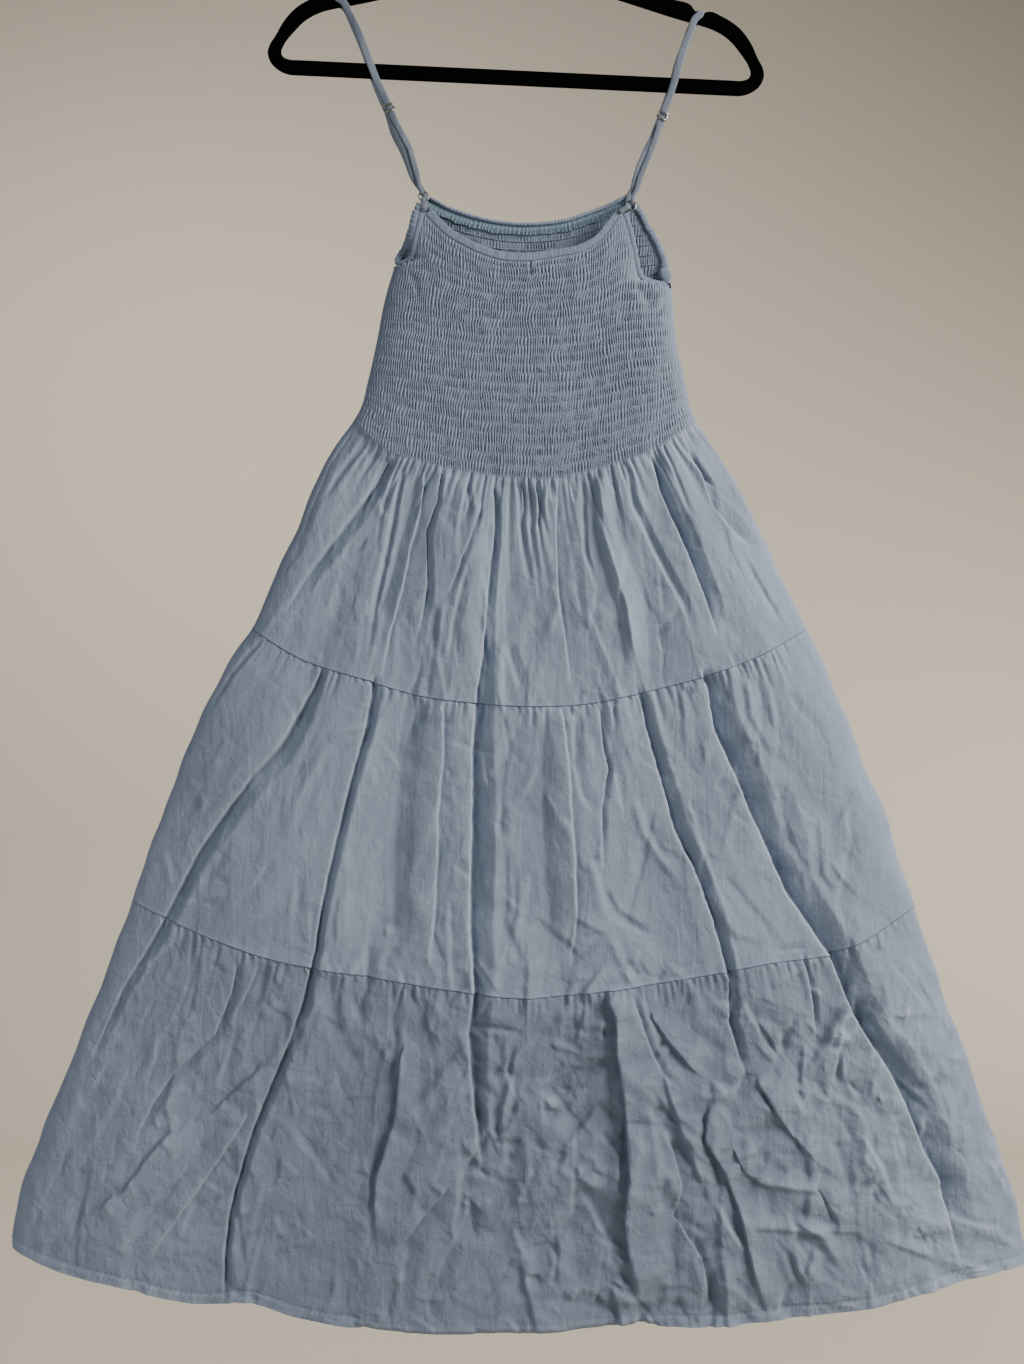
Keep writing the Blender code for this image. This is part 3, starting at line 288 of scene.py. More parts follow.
    (-2.9, 0.06, 5.5, 11.5, (193, 1243), (254, 1251), (269, 1272), (284, 1287)),
    (2.2, 0.12, 4, 17, (124, 1165), (135, 1211), (128, 1237), (152, 1272), (162, 1313), (177, 1328)),
    (1.9, 0.12, 8.5, 6.6, (114, 1191), (128, 1251), (132, 1305)),
    (2, 0.12, 5.3, 11.3, (104, 1134), (124, 1163), (146, 1198)),
    (-1.7, 0.12, 11.3, 5.3, (104, 1134), (111, 1174), (119, 1220)),
    (1.7, 0.12, 5.3, 14.2, (102, 1136), (91, 1165), (86, 1198)),
    (2, 0.12, 8.5, 6.6, (121, 1323), (132, 1315), (150, 1338)),
    (1.5, 0.12, 4, 11.3, (109, 1329), (117, 1312), (121, 1294)),
    (1.4, 0.1, 8.5, 4, (306, 1158), (301, 1193)),
    (1.4, 0.1, 4, 8.5, (323, 1174), (331, 1196), (340, 1202)),
    (1.5, 0.1, 8.5, 5.3, (279, 1178), (285, 1227), (284, 1260)),
    (1.5, 0.1, 4, 11.3, (293, 1278), (303, 1297), (306, 1315)),
    (1.4, 0.1, 8.5, 4, (354, 1253), (359, 1275)),
    (1.4, 0.1, 5.3, 11.3, (397, 1121), (384, 1147), (378, 1174)),
    (1.7, 0.1, 8.5, 4, (29, 1105), (51, 1112), (82, 1090)),
    (-1.7, 0.1, 4, 8.5, (23, 1094), (40, 1108), (52, 1128)),
    (1.7, 0.1, 8.5, 4, (55, 1134), (75, 1149), (93, 1156)),
    (-1.5, 0.1, 4, 8.5, (71, 1128), (86, 1144), (100, 1137)),
    (1.5, 0.1, 8.5, 4, (63, 1165), (78, 1174), (93, 1161)),
    (1.5, 0.1, 4, 8.5, (7, 1125), (29, 1134), (42, 1121)),
    (-1.5, 0.1, 8.5, 4, (-24, 1103), (-14, 1125), (-20, 1152)),
    (1.5, 0.1, 4, 8.5, (29, 1275), (22, 1293), (34, 1306)),
    (-1.5, 0.1, 8.5, 5.3, (18, 1262), (25, 1282), (11, 1297)),
    (1.7, 0.1, 4, 11.3, (73, 1271), (86, 1293), (100, 1299)),
    (-1.7, 0.1, 8.5, 5.3, (63, 1293), (82, 1306), (100, 1315)),
    (1.5, 0.1, 4, 11.3, (42, 1311), (64, 1320), (93, 1324)),
    (1.5, 0.1, 8.5, 5.3, (29, 1059), (16, 1076), (2, 1082)),
    (-1.5, 0.1, 4, 8.5, (22, 1066), (47, 1057), (57, 1048)),
)
BACK_FOLDS = (
    (5, 0.15, 2.5, 16, (-20, 592, 0.5), (-26, 700, 0.9), (-36, 900), (-42, 1100), (-48, 1326, 0.8)),
    (5, 0.2, 3, 11, (-96, 582, 0.6), (-122, 700, 0.9), (-160, 900), (-196, 1090, 1.1), (-240, 1300)),
    (5.6, 0.15, 3.5, 18, (70, 586, 0.5), (84, 700, 0.8), (100, 860), (112, 1060), (128, 1322, 0.9)),
    (-4.6, 0.15, 14, 10, (120, 560, 0.6), (162, 700, 0.9), (214, 900), (252, 1100), (286, 1300, 0.8)),
    (5.2, 0.2, 2.5, 14, (-126, 566, 0.5), (-186, 730, 0.9), (-256, 940), (-306, 1110),
     (-352, 1286, 0.7)),
    (-4, 0.15, 12, 10, (24, 590, 0.5), (30, 760), (38, 900), (40, 1010, 0.7)),
    (-3.6, 0.15, 10, 9, (-56, 586, 0.5), (-84, 760), (-112, 920), (-128, 1040, 0.7)),
    (5, 0.15, 3, 15, (146, 742, 0.5), (222, 920), (296, 1100), (366, 1284, 0.7)),
    (4.6, 0.15, 3, 14, (-204, 768, 0.6), (-256, 900), (-304, 1062, 0.7)),
    (4.4, 0.15, 3, 12, (18, 1036, 0.6), (26, 1160), (34, 1326, 0.8)),
    (3, 0.2, 2, 5, (-110, 556), (-150, 626), (-184, 700, 0.7)),
    (2.6, 0.2, 2, 4, (-70, 582), (-84, 680), (-92, 752, 0.7)),
    (2.6, 0.2, 2, 5, (6, 590), (12, 672), (10, 742, 0.7)),
    (2.8, 0.2, 2.5, 5, (96, 576), (118, 650), (134, 722, 0.7)),
    (-2.6, 0.2, 5, 5, (148, 562), (184, 640), (216, 706, 0.7)),
    (2.4, 0.2, 2, 5, (46, 588), (54, 640), (62, 690, 0.7)),
    (-2.4, 0.15, 5, 5, (-188, 764), (-226, 860), (-252, 946)),
    (2.6, 0.15, 3, 5, (-88, 786), (-98, 900), (-106, 996)),
    (-2.4, 0.15, 5, 4, (50, 790), (62, 880), (72, 966)),
    (2.8, 0.15, 3, 6, (198, 772), (244, 880), (278, 966)),
    (-1.8, 0.1, 4, 4, (-30, 880), (0, 906), (24, 900)),
    (1.6, 0.1, 3, 3, (120, 856), (140, 900), (176, 914)),
    (1.6, 0.1, 3, 3, (-196, 870), (-150, 884), (-128, 872)),
    (-2.8, 0.15, 6, 6, (-38, 1062), (-56, 1160), (-60, 1268)),
    (2, 0.12, 3, 4, (86, 1086), (118, 1120), (152, 1172)),
    (-2, 0.12, 4, 3, (152, 1088), (120, 1136), (90, 1184)),
    (2.6, 0.12, 3, 6, (-206, 1094), (-262, 1170), (-304, 1256)),
    (2.2, 0.12, 2.5, 4, (-264, 1148), (-258, 1220), (-250, 1294)),
    (-3, 0.12, 7, 7, (246, 1056), (300, 1150), (352, 1254)),
    (2.2, 0.12, 3, 5, (198, 1206), (232, 1250), (262, 1314)),
    (-2.2, 0.12, 4, 5, (-130, 1120), (-100, 1170), (-104, 1230)),
    (2, 0.12, 3, 4, (-10, 1190), (30, 1220), (64, 1212)),
    (-1.8, 0.12, 4, 4, (-330, 1140), (-300, 1176), (-290, 1220)),
)
FOLDS = {"front": FRONT_FOLDS, "back": BACK_FOLDS}
# Creases that run into the front of the bodice from under the arms
UNDERARM_CREASES = (
    (1.7, 0.2, 8, 10, (96, 412), (106, 424), (112, 440)),
    (0.9, 0.15, 2.5, 4, (124, 416), (115, 424), (106, 438)),
    (0.9, 0.15, 2.5, 4, (127, 428), (117, 440), (108, 454)),
    (0.8, 0.15, 2.5, 4, (96, 396), (99, 412), (97, 430)),
    (1.0, 0.15, 2.5, 5, (-108, 396), (-100, 412), (-96, 432)),
)
CREASE_ROUND = 0.6
OVERLAP = 0.8

# Small tuck below the middle of the front neck
TUCK_X = 2.5
TUCK_FOOT = 412.0
TUCK_DEPTH = 1.6

# Chance creases: how many a tier has, how long and wide they are, their slope, and how far they turn from
# the fall of the cloth, in radians. Both faces draw their own.
CHANCE_CREASES = table(
    "top foot count shortest longest narrow broad slope turn",
    (570, 780, 60, 26, 130, 2.2, 9.0, 0.17, 0.10),
    (590, 780, 60, 10, 46, 1.8, 7.0, 0.19, 1.00),
    (750, 1036, 84, 30, 150, 2.4, 11.0, 0.21, 0.16),
    (740, 1036, 110, 12, 60, 2.0, 8.0, 0.23, 1.10),
    (1000, 1320, 120, 30, 150, 3.0, 13.0, 0.38, 0.45),
    (1000, 1330, 280, 14, 80, 2.4, 10.0, 0.36, 1.57),
    (1060, 1330, 200, 9, 44, 1.9, 6.0, 0.42, 1.57),
)
CHANCE_LIP = 0.06
LOWEST_TIER = 1000.0

# Where the lines of the skirt's fall would meet above the dress
FALL_APEX = 146.0

# Swell of cloth that was folded away: billows, broad swells, then medium and fine creases with what the
# crumpled lowest tier adds to each
BILLOW = 5.5
SWELL = 1.8
MEDIUM_CREASE, MEDIUM_CRUMPLE = 0.8, 1.5
FINE_CREASE, FINE_CRUMPLE = 0.3, 0.7

# Flat facets between pressed creases: width, height and slope
FACETS = ((48, 62, 0.13), (21, 27, 0.12))

# Wear and painted shade: how many points round each one it is measured over, and the height that wears
# fully, paler on the crests where dye rubs off and darker in the creases as painted shade; then how much
# darker the bodice and the lowest tier are painted as a whole, as shade
WEAR_AND_SHADE = {"bodice": (3, 0.85), "skirt": (7, 3.0)}
BODICE_PAINTED_SHADE = -0.8
LOW_TIER_PAINTED_SHADE = {"front": -1.2, "back": 0.0}

# Gathers let go below the waist and below each seam: spacing along the seam, length and height.
GATHERS = table(
    "spacing shortest longest height",
    (4.6, 16, 140, 1.9),
    (4.2, 7, 46, 1.4),
    (4.2, 7, 46, 1.4),
)
GATHER_LIP = 0.3

# Shirring: the wrinkles between two rows of elastic, how the elastic draws them in, and how much more level
# the rows hang half way down
SHIRR_PITCH = 2.35
SHIRR_PUFF = 0.12
SHIRR_WRINKLE = 0.75
ELASTIC_DIP = 0.06
ROW_LEVEL = 0.6

# Edge finishes and sewing
NECK_BAND_HEIGHT = 7.5
NECK_BAND_THICKNESS = 1.5
NECK_BAND_LENGTH = 210.0
NECK_BAND_COLUMNS = 400
BACK_BAND_LOW = -1.6
BACK_BAND_HEIGHT = 9.6
BACK_BAND_COLUMNS = 420
BACK_BAND_STEP = 0.46
ROLL_THICKNESS = 3.0
ARM_BINDING_WIDTH = 5.0
ARM_BINDING_THICKNESS = 2.6
ARM_BINDING_GAP = -0.9
ARM_BINDING_STEP = 0.7
ARM_BINDING_ROUNDS = 110
ROLL_BUNCH = {"left": 0.8, "right": 4.5}
HEM_BAND = 9.0
STITCH = 2.4
STITCH_RISE = 0.35
NECK_STITCH = 0.5
SEAM_LINE = 0.8
THREAD = 0.28
ELASTIC_THREAD = (0.8, 0.5)
OVERLOCK_THREAD = (0.5, 0.35)

# Straps, sliders, rings and tabs. Below its slider a strap has two strands, which lie apart front to back
# and side to side, bow out between their ends and join above the ring.
STRAP_WIDTH = 6.5
STRAP_THICKNESS = 1.4
STRAP_WIDTH_AT_RING = 4.6
STRAP_STEP = 1.1
RING_RADIUS = 4.2
RING_WIRE = 0.75
STRAND_SPREAD = 0.85
STRAND_ASIDE = 1.5
STRAND_JOIN = 14.0
STRAND_BOW = {"left": (3.6, 0.6), "right": (1.4, -1.6)}
STRAP_LOOP_RADIUS = 2.2
STRAP_LOOP_MOUTH = (4.5, 1.7)
TAB_WIDTH = 4.6
TAB_LOOP_RADIUS = 2.45
TAB_LENGTH = 7.8
SLIDER_HEIGHT = 7.5
SLIDER_WIRE = 0.75
STRAP_ROUTES = {
    "left": table(
        "x drop y",
        (-92.2, 335.8, -8.45), (-103, 311, -7.8), (-110, 293, -7.2), (-119, 275, -6.6),
        (-124.6, 257, -6.0), (-135.5, 231, -4.2), (-148.5, 195, -3.8), (-155.7, 177, -3.6),
        (-166.5, 156.5, -3.6),
    ),
    "right": table(
        "x drop y",
        (92.6, 343.9, -8.45), (101, 311, -7.8), (108, 293, -7.2), (115, 275, -6.6),
        (120, 261, -6.0), (129, 236, -4.2), (138.5, 204, -3.8), (145.7, 186, -3.6),
        (152, 171.5, -3.6),
    ),
}
SLIDER_DROP = {"left": 257.0, "right": 263.0}
BACK_CORNER = {"left": (-91.5, 342.0), "right": (91.5, 341.0)}

# Hanger, right half, before it is tilted; a strap rests in the notch
HANGER_TILT = math.radians(2.7)
HANGER_THICKNESS = 5.0
HANGER_EDGE = 1.6
HANGER_NOTCH = (163.2, 159.6)
HANGER_OUTER = table(
    "x drop",
    (8, 100), (13, 102.5), (18, 108), (40, 118.5), (90, 134.5), (137, 148.5), (155.5, 154),
    (157.8, 157), (159.8, 159.1), (163.2, 159.6), (166.6, 160), (169, 158.6), (172, 158.2),
    (183, 162), (200, 172.5), (210, 184.5), (217, 198), (222.4, 208), (223.4, 214),
    (220.5, 221.5), (213, 228), (203, 231.4), (195, 231.6),
)
HANGER_INNER = table(
    "x drop",
    (6, 128), (24, 133), (91, 150.7), (151, 166.6), (164, 169.6), (177, 173.5), (190, 180.8),
    (201, 192.4), (209.5, 204.5), (211.6, 210.5), (209.5, 216.5), (203, 219), (195, 219.1),
)
HOOK_WIRE = 1.8
HOOK_RADIUS = 20.0
HOOK_NECK_DROP = 52.0
BOSS_DROP = 100.0

# Camera: its place in metres and its lens on a 36 mm sensor
CAMERA_PLACE = (-0.0135, -0.9235, -0.7686)
CAMERA_LENS = 36.0 * 1026.1 / 1024

# ---------------------------------------------------------------- curves and chance

CHANCE_SIZE = 128  # chance values repeat after so many units


def smooth(places, values, at):
    """A smooth curve through a table's rows, read at one place or at many."""
    places = np.asarray(places, float)
    values = np.asarray(values, float)
    slopes = np.gradient(values, places)
    row = np.clip(np.searchsorted(places, at) - 1, 0, len(places) - 2)
    step = places[row + 1] - places[row]
    part = (np.clip(at, places[0], places[-1]) - places[row]) / step
    blend = part * part * (3 - 2 * part)
    level = values[row] * (1 - blend) + values[row + 1] * blend
    bend = slopes[row] * part * (1 - part) ** 2 + slopes[row + 1] * part * part * (part - 1)
    return level + bend * step


def smooth_path(points, spacing):
    """Points at even spacing along a smooth curve, with any further columns that go with them."""
    points = np.asarray(points, float)
    steps = np.linalg.norm(np.diff(points[:, :3], axis=0), axis=1)
    length = np.concatenate([[0], np.cumsum(steps)])
    at = np.linspace(0, length[-1], max(3, round(length[-1] / spacing) + 1))
    return np.stack([smooth(length, column, at) for column in points.T], axis=1)


def unit(vectors):
    return vectors / np.linalg.norm(vectors, axis=-1, keepdims=True)


def mix(first, second, share):
    return first + (second - first) * share


def ease(share):
    """0 below 0, 1 above 1 and smooth between them."""
    share = np.clip(share, 0, 1)
    return share * share * (3 - 2 * share)


def chance(x, y, seed):
    """Smooth chance values, about -1 to 1, that change over one unit of x and of y."""
    turns = np.random.default_rng(seed).uniform(0, 2 * math.pi, (CHANCE_SIZE, CHANCE_SIZE))
    x, y = np.broadcast_arrays(x, y)
    left = np.floor(x).astype(int)
    top = np.floor(y).astype(int)
    from_left = x - left
    from_top = y - top

    def corner(right, down):
        """What one corner of a place's square adds: a slope that faces its own chance way."""
        turn = turns[(left + right) % CHANCE_SIZE, (top + down) % CHANCE_SIZE]
        return np.cos(turn) * (from_left - right) + np.sin(turn) * (from_top - down)

    blend_x, blend_y = (part**3 * (part * (part * 6 - 15) + 10) for part in (from_left, from_top))
    upper = mix(corner(0, 0), corner(1, 0), blend_x)
    lower = mix(corner(0, 1), corner(1, 1), blend_x)
    return mix(upper, lower, blend_y) * 1.5


def facets(x, y, seed):
    """0 at scattered points to about 0.7 on the straight creases halfway between them."""
    places = np.random.default_rng(seed).uniform(0.02, 0.98, (2, CHANCE_SIZE, CHANCE_SIZE))
    cell_x, cell_y = np.floor(x).astype(int), np.floor(y).astype(int)
    nearest = np.full(x.shape, np.inf)
    for step_x in (-1, 0, 1):
        for step_y in (-1, 0, 1):
            column, row = cell_x + step_x, cell_y + step_y
            place_x, place_y = places[:, column % CHANCE_SIZE, row % CHANCE_SIZE]
            nearest = np.minimum(nearest, np.hypot(x - column - place_x, y - row - place_y))
    return nearest


def world(x, y, drop):
    return np.stack(np.broadcast_arrays(x, y, -np.asarray(drop)), axis=-1)


# ---------------------------------------------------------------- the dress as a surface


def line(name, across, face):
    """The drop of a seam line."""
    if name == "hem":
        return smooth(HEM["across"], HEM[face], across)
    column = f"neck_{face}" if name == "neck" else name
    return smooth(LINES["across"], LINES[column], across)


def underarm(face, side):
    """The drop where the armhole ends and the side seam starts; the front sags below it on the right."""
    end = 0 if side == "left" else -1
    ends = LINES["neck_front"][end], LINES["waist"][end]
    sag = FRONT_SAG[side] if face == "front" else 0
    return mix(*ends, UNDERARM_ROW[side] / ELASTICS["front"]) + sag


def edge(face, side, drop):
    """How far out a panel's edge lies: along the armhole first and then along the side seam."""
    armhole = ARMHOLES[face, side]
    on_armhole = np.interp(drop, armhole["drop"], armhole["out"])
    on_seam = smooth(SIDE_SEAMS["drop"], SIDE_SEAMS[side], drop)
    below = drop - underarm(face, side)
    return mix(on_armhole, on_seam, ease((below + UNDERARM_TURN) / (UNDERARM_TURN + 0.5)))


def edge_depth(face, side, drop):
    """Depth of a panel's edge: the corner's at the top of the armhole, none at the side seam."""
    start = ARMHOLES[face, side]["drop"][0]
    share = np.clip((drop - start) / (underarm(face, side) - start), 0, 1)
    return mix(CORNER_DEPTH[face], 0, share**6)


def beside(points, x, drop):
    """How far places lie to the right of a line of points, how far down it, and its width there."""
    nearest = np.full(x.shape, np.inf)
    aside, along, scale = np.zeros((3, *x.shape))
    start = 0.0
    for (x0, drop0, scale0), (x1, drop1, scale1) in zip(points, points[1:]):
        length = math.hypot(x1 - x0, drop1 - drop0)
        run_x, run_drop = (x1 - x0) / length, (drop1 - drop0) / length
        from_x, from_drop = x - x0, drop - drop0
        reach = np.clip(from_x * run_x + from_drop * run_drop, 0, length)
        away = np.hypot(from_x - reach * run_x, from_drop - reach * run_drop)
        closer = away < nearest
        nearest[closer] = away[closer]
        aside[closer] = np.copysign(away, from_x * run_drop - from_drop * run_x)[closer]
        along[closer] = start + reach[closer]
        scale[closer] = mix(scale0, scale1, reach[closer] / length)
        start += length
    return aside, along, start, scale


def section(aside, left, right, lip):
    """Across a fold: 1 at its line, minus the lip's share at the ends of its slopes, then level again."""
    places = (-2 * left - 5, -left, 0, right, 2 * right + 5)
    heights = (0, -lip, 1, -lip, 0)
    shifts = (-CREASE_ROUND, 0, CREASE_ROUND)
    return sum(np.interp(aside + shift, places, heights) for shift in shifts) / len(shifts)


def overlap(aside, left, right, depth):
    """Sideways push that lays the high edge of a fold's steep side over its low edge."""
    steep = -left if left < right else right
    if abs(depth) < 2.0 or abs(steep) > 0.45 * max(left, right):
        return 0 * aside
    high, low = (steep, 0) if depth > 0 else (0, steep)
    push = math.copysign(abs(steep) + OVERLAP, low - high)
    places = sorted(((high - math.copysign(10, push), 0.0), (high, push), (low, 0.0)))
    return np.interp(aside, *zip(*places))


def fold_depth(folds, x, drop):
    """Sum of many folds: how far they push the cloth in, and how far they push it sideways."""
    total, sideways = np.zeros((2, *x.shape))
    for number, (depth, lip, left, right, *points) in enumerate(folds):
        line_points = np.array([(*point, 1.0)[:3] for point in points])
        reach = 2 * max(left, right) * line_points[:, 2].max() + 7
        low, high = line_points.min(axis=0) - reach, line_points.max(axis=0) + reach
        near = (x > low[0]) & (x < high[0]) & (drop > low[1]) & (drop < high[1])
        if not near.any():
            continue
        aside, along, length, scale = beside(line_points, x[near], drop[near])
        aside = (aside + 0.7 * chance(along / 16, number, 3)) / scale
        uneven = 1 + 0.22 * chance(along / 35, number, 4)
        fade = ease(along / min(14, 0.3 * length)) * ease((length - along) / min(70, 0.35 * length))
        profile = section(aside, left, right, lip)
        total[near] += depth * np.sqrt(scale) * profile * uneven * fade
        sideways[near] += overlap(aside, left, right, depth) * scale * fade
    return total, sideways


def chance_creases(face):
    """Creases at seeded chance places, most of them along the fall of the cloth."""
    draw = np.random.default_rng(31 if face == "front" else 47)
    creases = []
    for kind in CHANCE_CREASES:
        for _ in range(int(kind["count"])):
            drop = draw.uniform(kind["top"], kind["foot"])
            half = np.interp(drop, SIDE_SEAMS["drop"], SIDE_SEAMS["right"])
            x = draw.uniform(-half, half)
            calm = rumpled(face, np.array(x)) if kind["top"] >= LOWEST_TIER else 1
            angle = math.atan2(x, drop - FALL_APEX) + draw.normal(0, kind["turn"]) * calm
            length = kind["shortest"] * (kind["longest"] / kind["shortest"]) ** (draw.uniform() ** 1.4)
            crisp, soft = kind["narrow"] * draw.uniform(0.8, 1.4), kind["broad"] * draw.uniform(0.6, 1.3)
            left, right = (crisp, soft) if draw.uniform() < 0.5 else (soft, crisp)
            depth = math.sqrt(crisp * soft) * kind["slope"] * draw.uniform(0.4, 1.4) * draw.choice((-1, 1))
            points = [(x, drop)]
            for _ in range(2):
                angle += draw.normal(0, 0.14)
                x, drop = x + length / 2 * math.sin(angle), drop + length / 2 * math.cos(angle)
                points.append((x, drop))
            creases.append((depth * (0.3 + 0.7 * calm), CHANCE_LIP, left, right, *points))
    return creases


def rumpled(face, x):
    """Where the lowest tier is most crumpled: all over the back, and right of the front's left third."""
    return mix(0.35, 1, ease((x + 110) / 130)) if face == "front" else 0.8 + 0 * x


def crumple(face, x, drop):
    """Soft uneven swell of worn cloth that has been folded away: broad, medium and fine."""
    seed = 5 if face == "front" else 9
    fall = x * (700 - FALL_APEX) / np.maximum(drop - FALL_APEX, 200)
    # The places are bent a little, so that no swell or crease runs straight
    bend_x = fall + 9 * chance(x / 70, drop / 90, seed)
    bend_drop = drop + 14 * chance(x / 60, drop / 60, seed + 1)
    broad = chance(bend_x / 34, bend_drop / 170, seed + 2)
    medium = np.abs(chance(bend_x / 16, bend_drop / 54, seed + 3))
    fine = np.abs(chance(bend_x / 8, bend_drop / 16, seed + 4))
    low = ease((drop - LOWEST_TIER) / 110) * rumpled(face, x)
    height = BILLOW * chance(fall / 62, drop / 260, seed + 5)
    pressed = 0
    for across, down, slope in FACETS:
        lean_x = bend_x + 0.25 * bend_drop
        field = facets(lean_x / across, (bend_drop - 0.25 * bend_x) / down, seed + 6)
        pressed = pressed + slope * across * (0.45 - field)
    height = height + pressed * (0.3 + 0.7 * low) + SWELL * broad
    height = height + (MEDIUM_CREASE + MEDIUM_CRUMPLE * low) * (0.3 - medium)
    return height + (FINE_CREASE + FINE_CRUMPLE * low) * (0.3 - fine)


def gathers(along, below, kind, seed):
    """Height of the gathers under a seam: along is measured on the seam and below is from it."""
    draw = np.random.default_rng(seed)
    total = np.zeros_like(below)
    place = along.min()
    while place < along.max():
        place += kind["spacing"] * draw.uniform(0.25, 1.8)
        length = mix(kind["shortest"], kind["longest"], draw.uniform() ** 1.6)
        depth = kind["height"] * draw.uniform(0.25, 1.35)
        left, right = kind["spacing"] * draw.uniform((0.16, 0.3), (0.36, 0.75))
        lean = draw.normal(0, 0.06)
        near = (np.abs(along - place) < 26) & (below < length)
        away = (along[near] - place - lean * below[near]) / (1 + 0.8 * below[near] / length)
        fade = ease(below[near] / 2.6) * ease(1.1 * (1 - below[near] / length))
        total[near] -= depth * section(away, left, right, GATHER_LIP) * fade
    return total


def shirring(along, row, seed):
    """Height of the cloth between rows of elastic: fine upright wrinkles, caught at each row."""
    between = np.abs(np.sin(math.pi * row))
    number = np.floor(row)
    shift = 1.2 * chance(along / 16, 3.7 * number, seed) + 0.45 * number
    slant = (row - number - 0.5) * (0.25 + 1.5 * chance(along / 24, 2.3 * number, seed + 1))
    wrinkle = np.cos(2 * math.pi * (along / SHIRR_PITCH + shift + slant))
    uneven = np.clip(1 + 0.5 * chance(along / 4.5, 1.7 * number, seed + 2), 0.6, 1.4)
    swell = SHIRR_PUFF * between * (1 + 0.6 * chance(along / 20, 0.6 * row, seed + 3))
    sag = 0.5 * chance(along / 46, row / 5, seed + 4)
    dip = ELASTIC_DIP * np.exp(-((between / 0.25) ** 2))
    return swell + SHIRR_WRINKLE * wrinkle * uneven * (0.4 + 0.6 * between) - dip + sag


def hem_relief(below_stitch, along, seed):
    """A turned hem: a raised band, a dip along its stitches and small slanted puckers."""
    band = 0.8 * ease((below_stitch + 0.6) / 1.2)
    dip = 0.5 * np.exp(-((below_stitch / 1.1) ** 2))
    strength = np.clip(0.7 + 1.3 * chance(along / 34, 0.5, seed), 0.15, 1.8)
    slant = along + 0.5 * below_stitch + 1.6 * chance(along / 9, 0.5, seed + 1)
    pucker = np.cos(2 * math.pi * slant / 4.4)
    close = np.exp(-(((below_stitch - 1.5) / 5.0) ** 2))
    return band - dip + 0.42 * pucker * strength * close


def columns(count):
    """Places across a panel, a little closer together towards its edges."""
    even = np.linspace(-1, 1, count + 1)
    return (1 - EDGE_CROWDING) * even + EDGE_CROWDING * np.sin(even * math.pi / 2)


def side_line(face, side, drop):
    """How far out a panel's rows run: to the side seam, and as far above it, where the armhole is cut."""
    foot = underarm(face, side)
    return smooth(SIDE_SEAMS["drop"], SIDE_SEAMS[side], np.maximum(drop, foot))


def resting(face, reach, drop):
    """Depth of the cloth before its relief, and how little it turns in towards the sides."""
    rounding = np.sqrt(np.clip(1 - np.abs(reach) ** SIDE_ROUNDING, 0, 1))
    rims = (edge_depth(face, side, drop) for side in SIDES)
    rim = mix(*rims, (np.clip(reach, -1, 1) + 1) / 2)
    return mix(rim, smooth(DEPTHS["drop"], DEPTHS[face], drop), rounding), rounding


def corners(face):
    """How far out a panel's neck ends at the left and the right armhole."""
    return [ARMHOLES[face, side]["out"][0] for side in SIDES]


def placed(face, x, drop):
    """Where a place lies between a panel's edges: -1 at the left one and 1 at the right one."""
    left, right = (edge(face, side, drop) for side in SIDES)
    return 2 * (x - left) / (right - left) - 1


def strip(face, upper, lower, across, down, relief):
    """Points of a panel between two lines, as rows of columns, and the height of their relief."""
    seams = ("upper_seam", "lower_seam")
    top = across
    if upper == "neck":
        sides = (side_line(face, side, 0) for side in SIDES)
        top = np.interp(mix(*sides, (across + 1) / 2), corners(face), (-1, 1))
    start = line(upper, top, face) - (SEAM_LAP["lower"] if upper in seams else 0)
    stop = line(lower, across, face) + (SEAM_LAP["upper"] if lower in seams else 0)
    down = down[:, None]
    drop = mix(start, stop, down)
    if upper == "neck":
        # Half way down, the rows of elastic hang more level than the neck and the waist do.
        drop = drop - ROW_LEVEL * np.sin(math.pi * down) * (drop - drop.mean(axis=1, keepdims=True))
    drops = {"left": drop[:, :1], "right": drop[:, -1:]}
    x = mix(*(side_line(face, side, drops[side]) for side in SIDES), (across + 1) / 2)
    reach = placed(face, x, drop) if upper == "neck" else across + 0 * drop
    depth, rounding = resting(face, reach, drop)
    height, sideways = relief(x, drop, across + 0 * drop, down + 0 * drop)
    if upper in seams:
        height = height - SEAM_TUCK * np.exp(-(((drop - start) / 1.6) ** 2))
    if lower in seams:
        height = height + SEAM_PUFF * np.exp(-(((stop - drop) / 2.0) ** 2))
    depth = depth + height * rounding
    x = x + sideways * rounding
    for side, outward in zip(SIDES, (-across, across)):
        at = drops[side]
        wander = SIDE_WANDER * chance(at / 34, 0.5, 11 + len(side)) * ease((at - WAIST_SIDE_DROP) / 30)
        x = x - np.sign(-across) * wander * np.clip(outward, 0, 1) ** 14
    return world(x, OUTWARD[face] * depth, drop), height


def loose(face, x, drop):
    """Height and sideways push of the loose cloth below the waist, apart from the gathers."""
    folded, pushed = fold_depth(FOLDS[face], x, drop)
    creased, _ = fold_depth(chance_creases(face), x, drop)
    return crumple(face, x, drop) - folded - creased, pushed


# ---------------------------------------------------------------- meshes


def add_piece(name, mesh, finish, slot, *nodes):
    """Makes a mesh a piece of the dress that stands for its CAD nodes."""
    obj = bpy.data.objects.new(name, mesh)
    bpy.context.scene.collection.objects.link(obj)
    mesh.materials.clear()
    mesh.materials.append(finish)
    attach(obj, "root")
    if nodes:
        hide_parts(*nodes)
    return obj


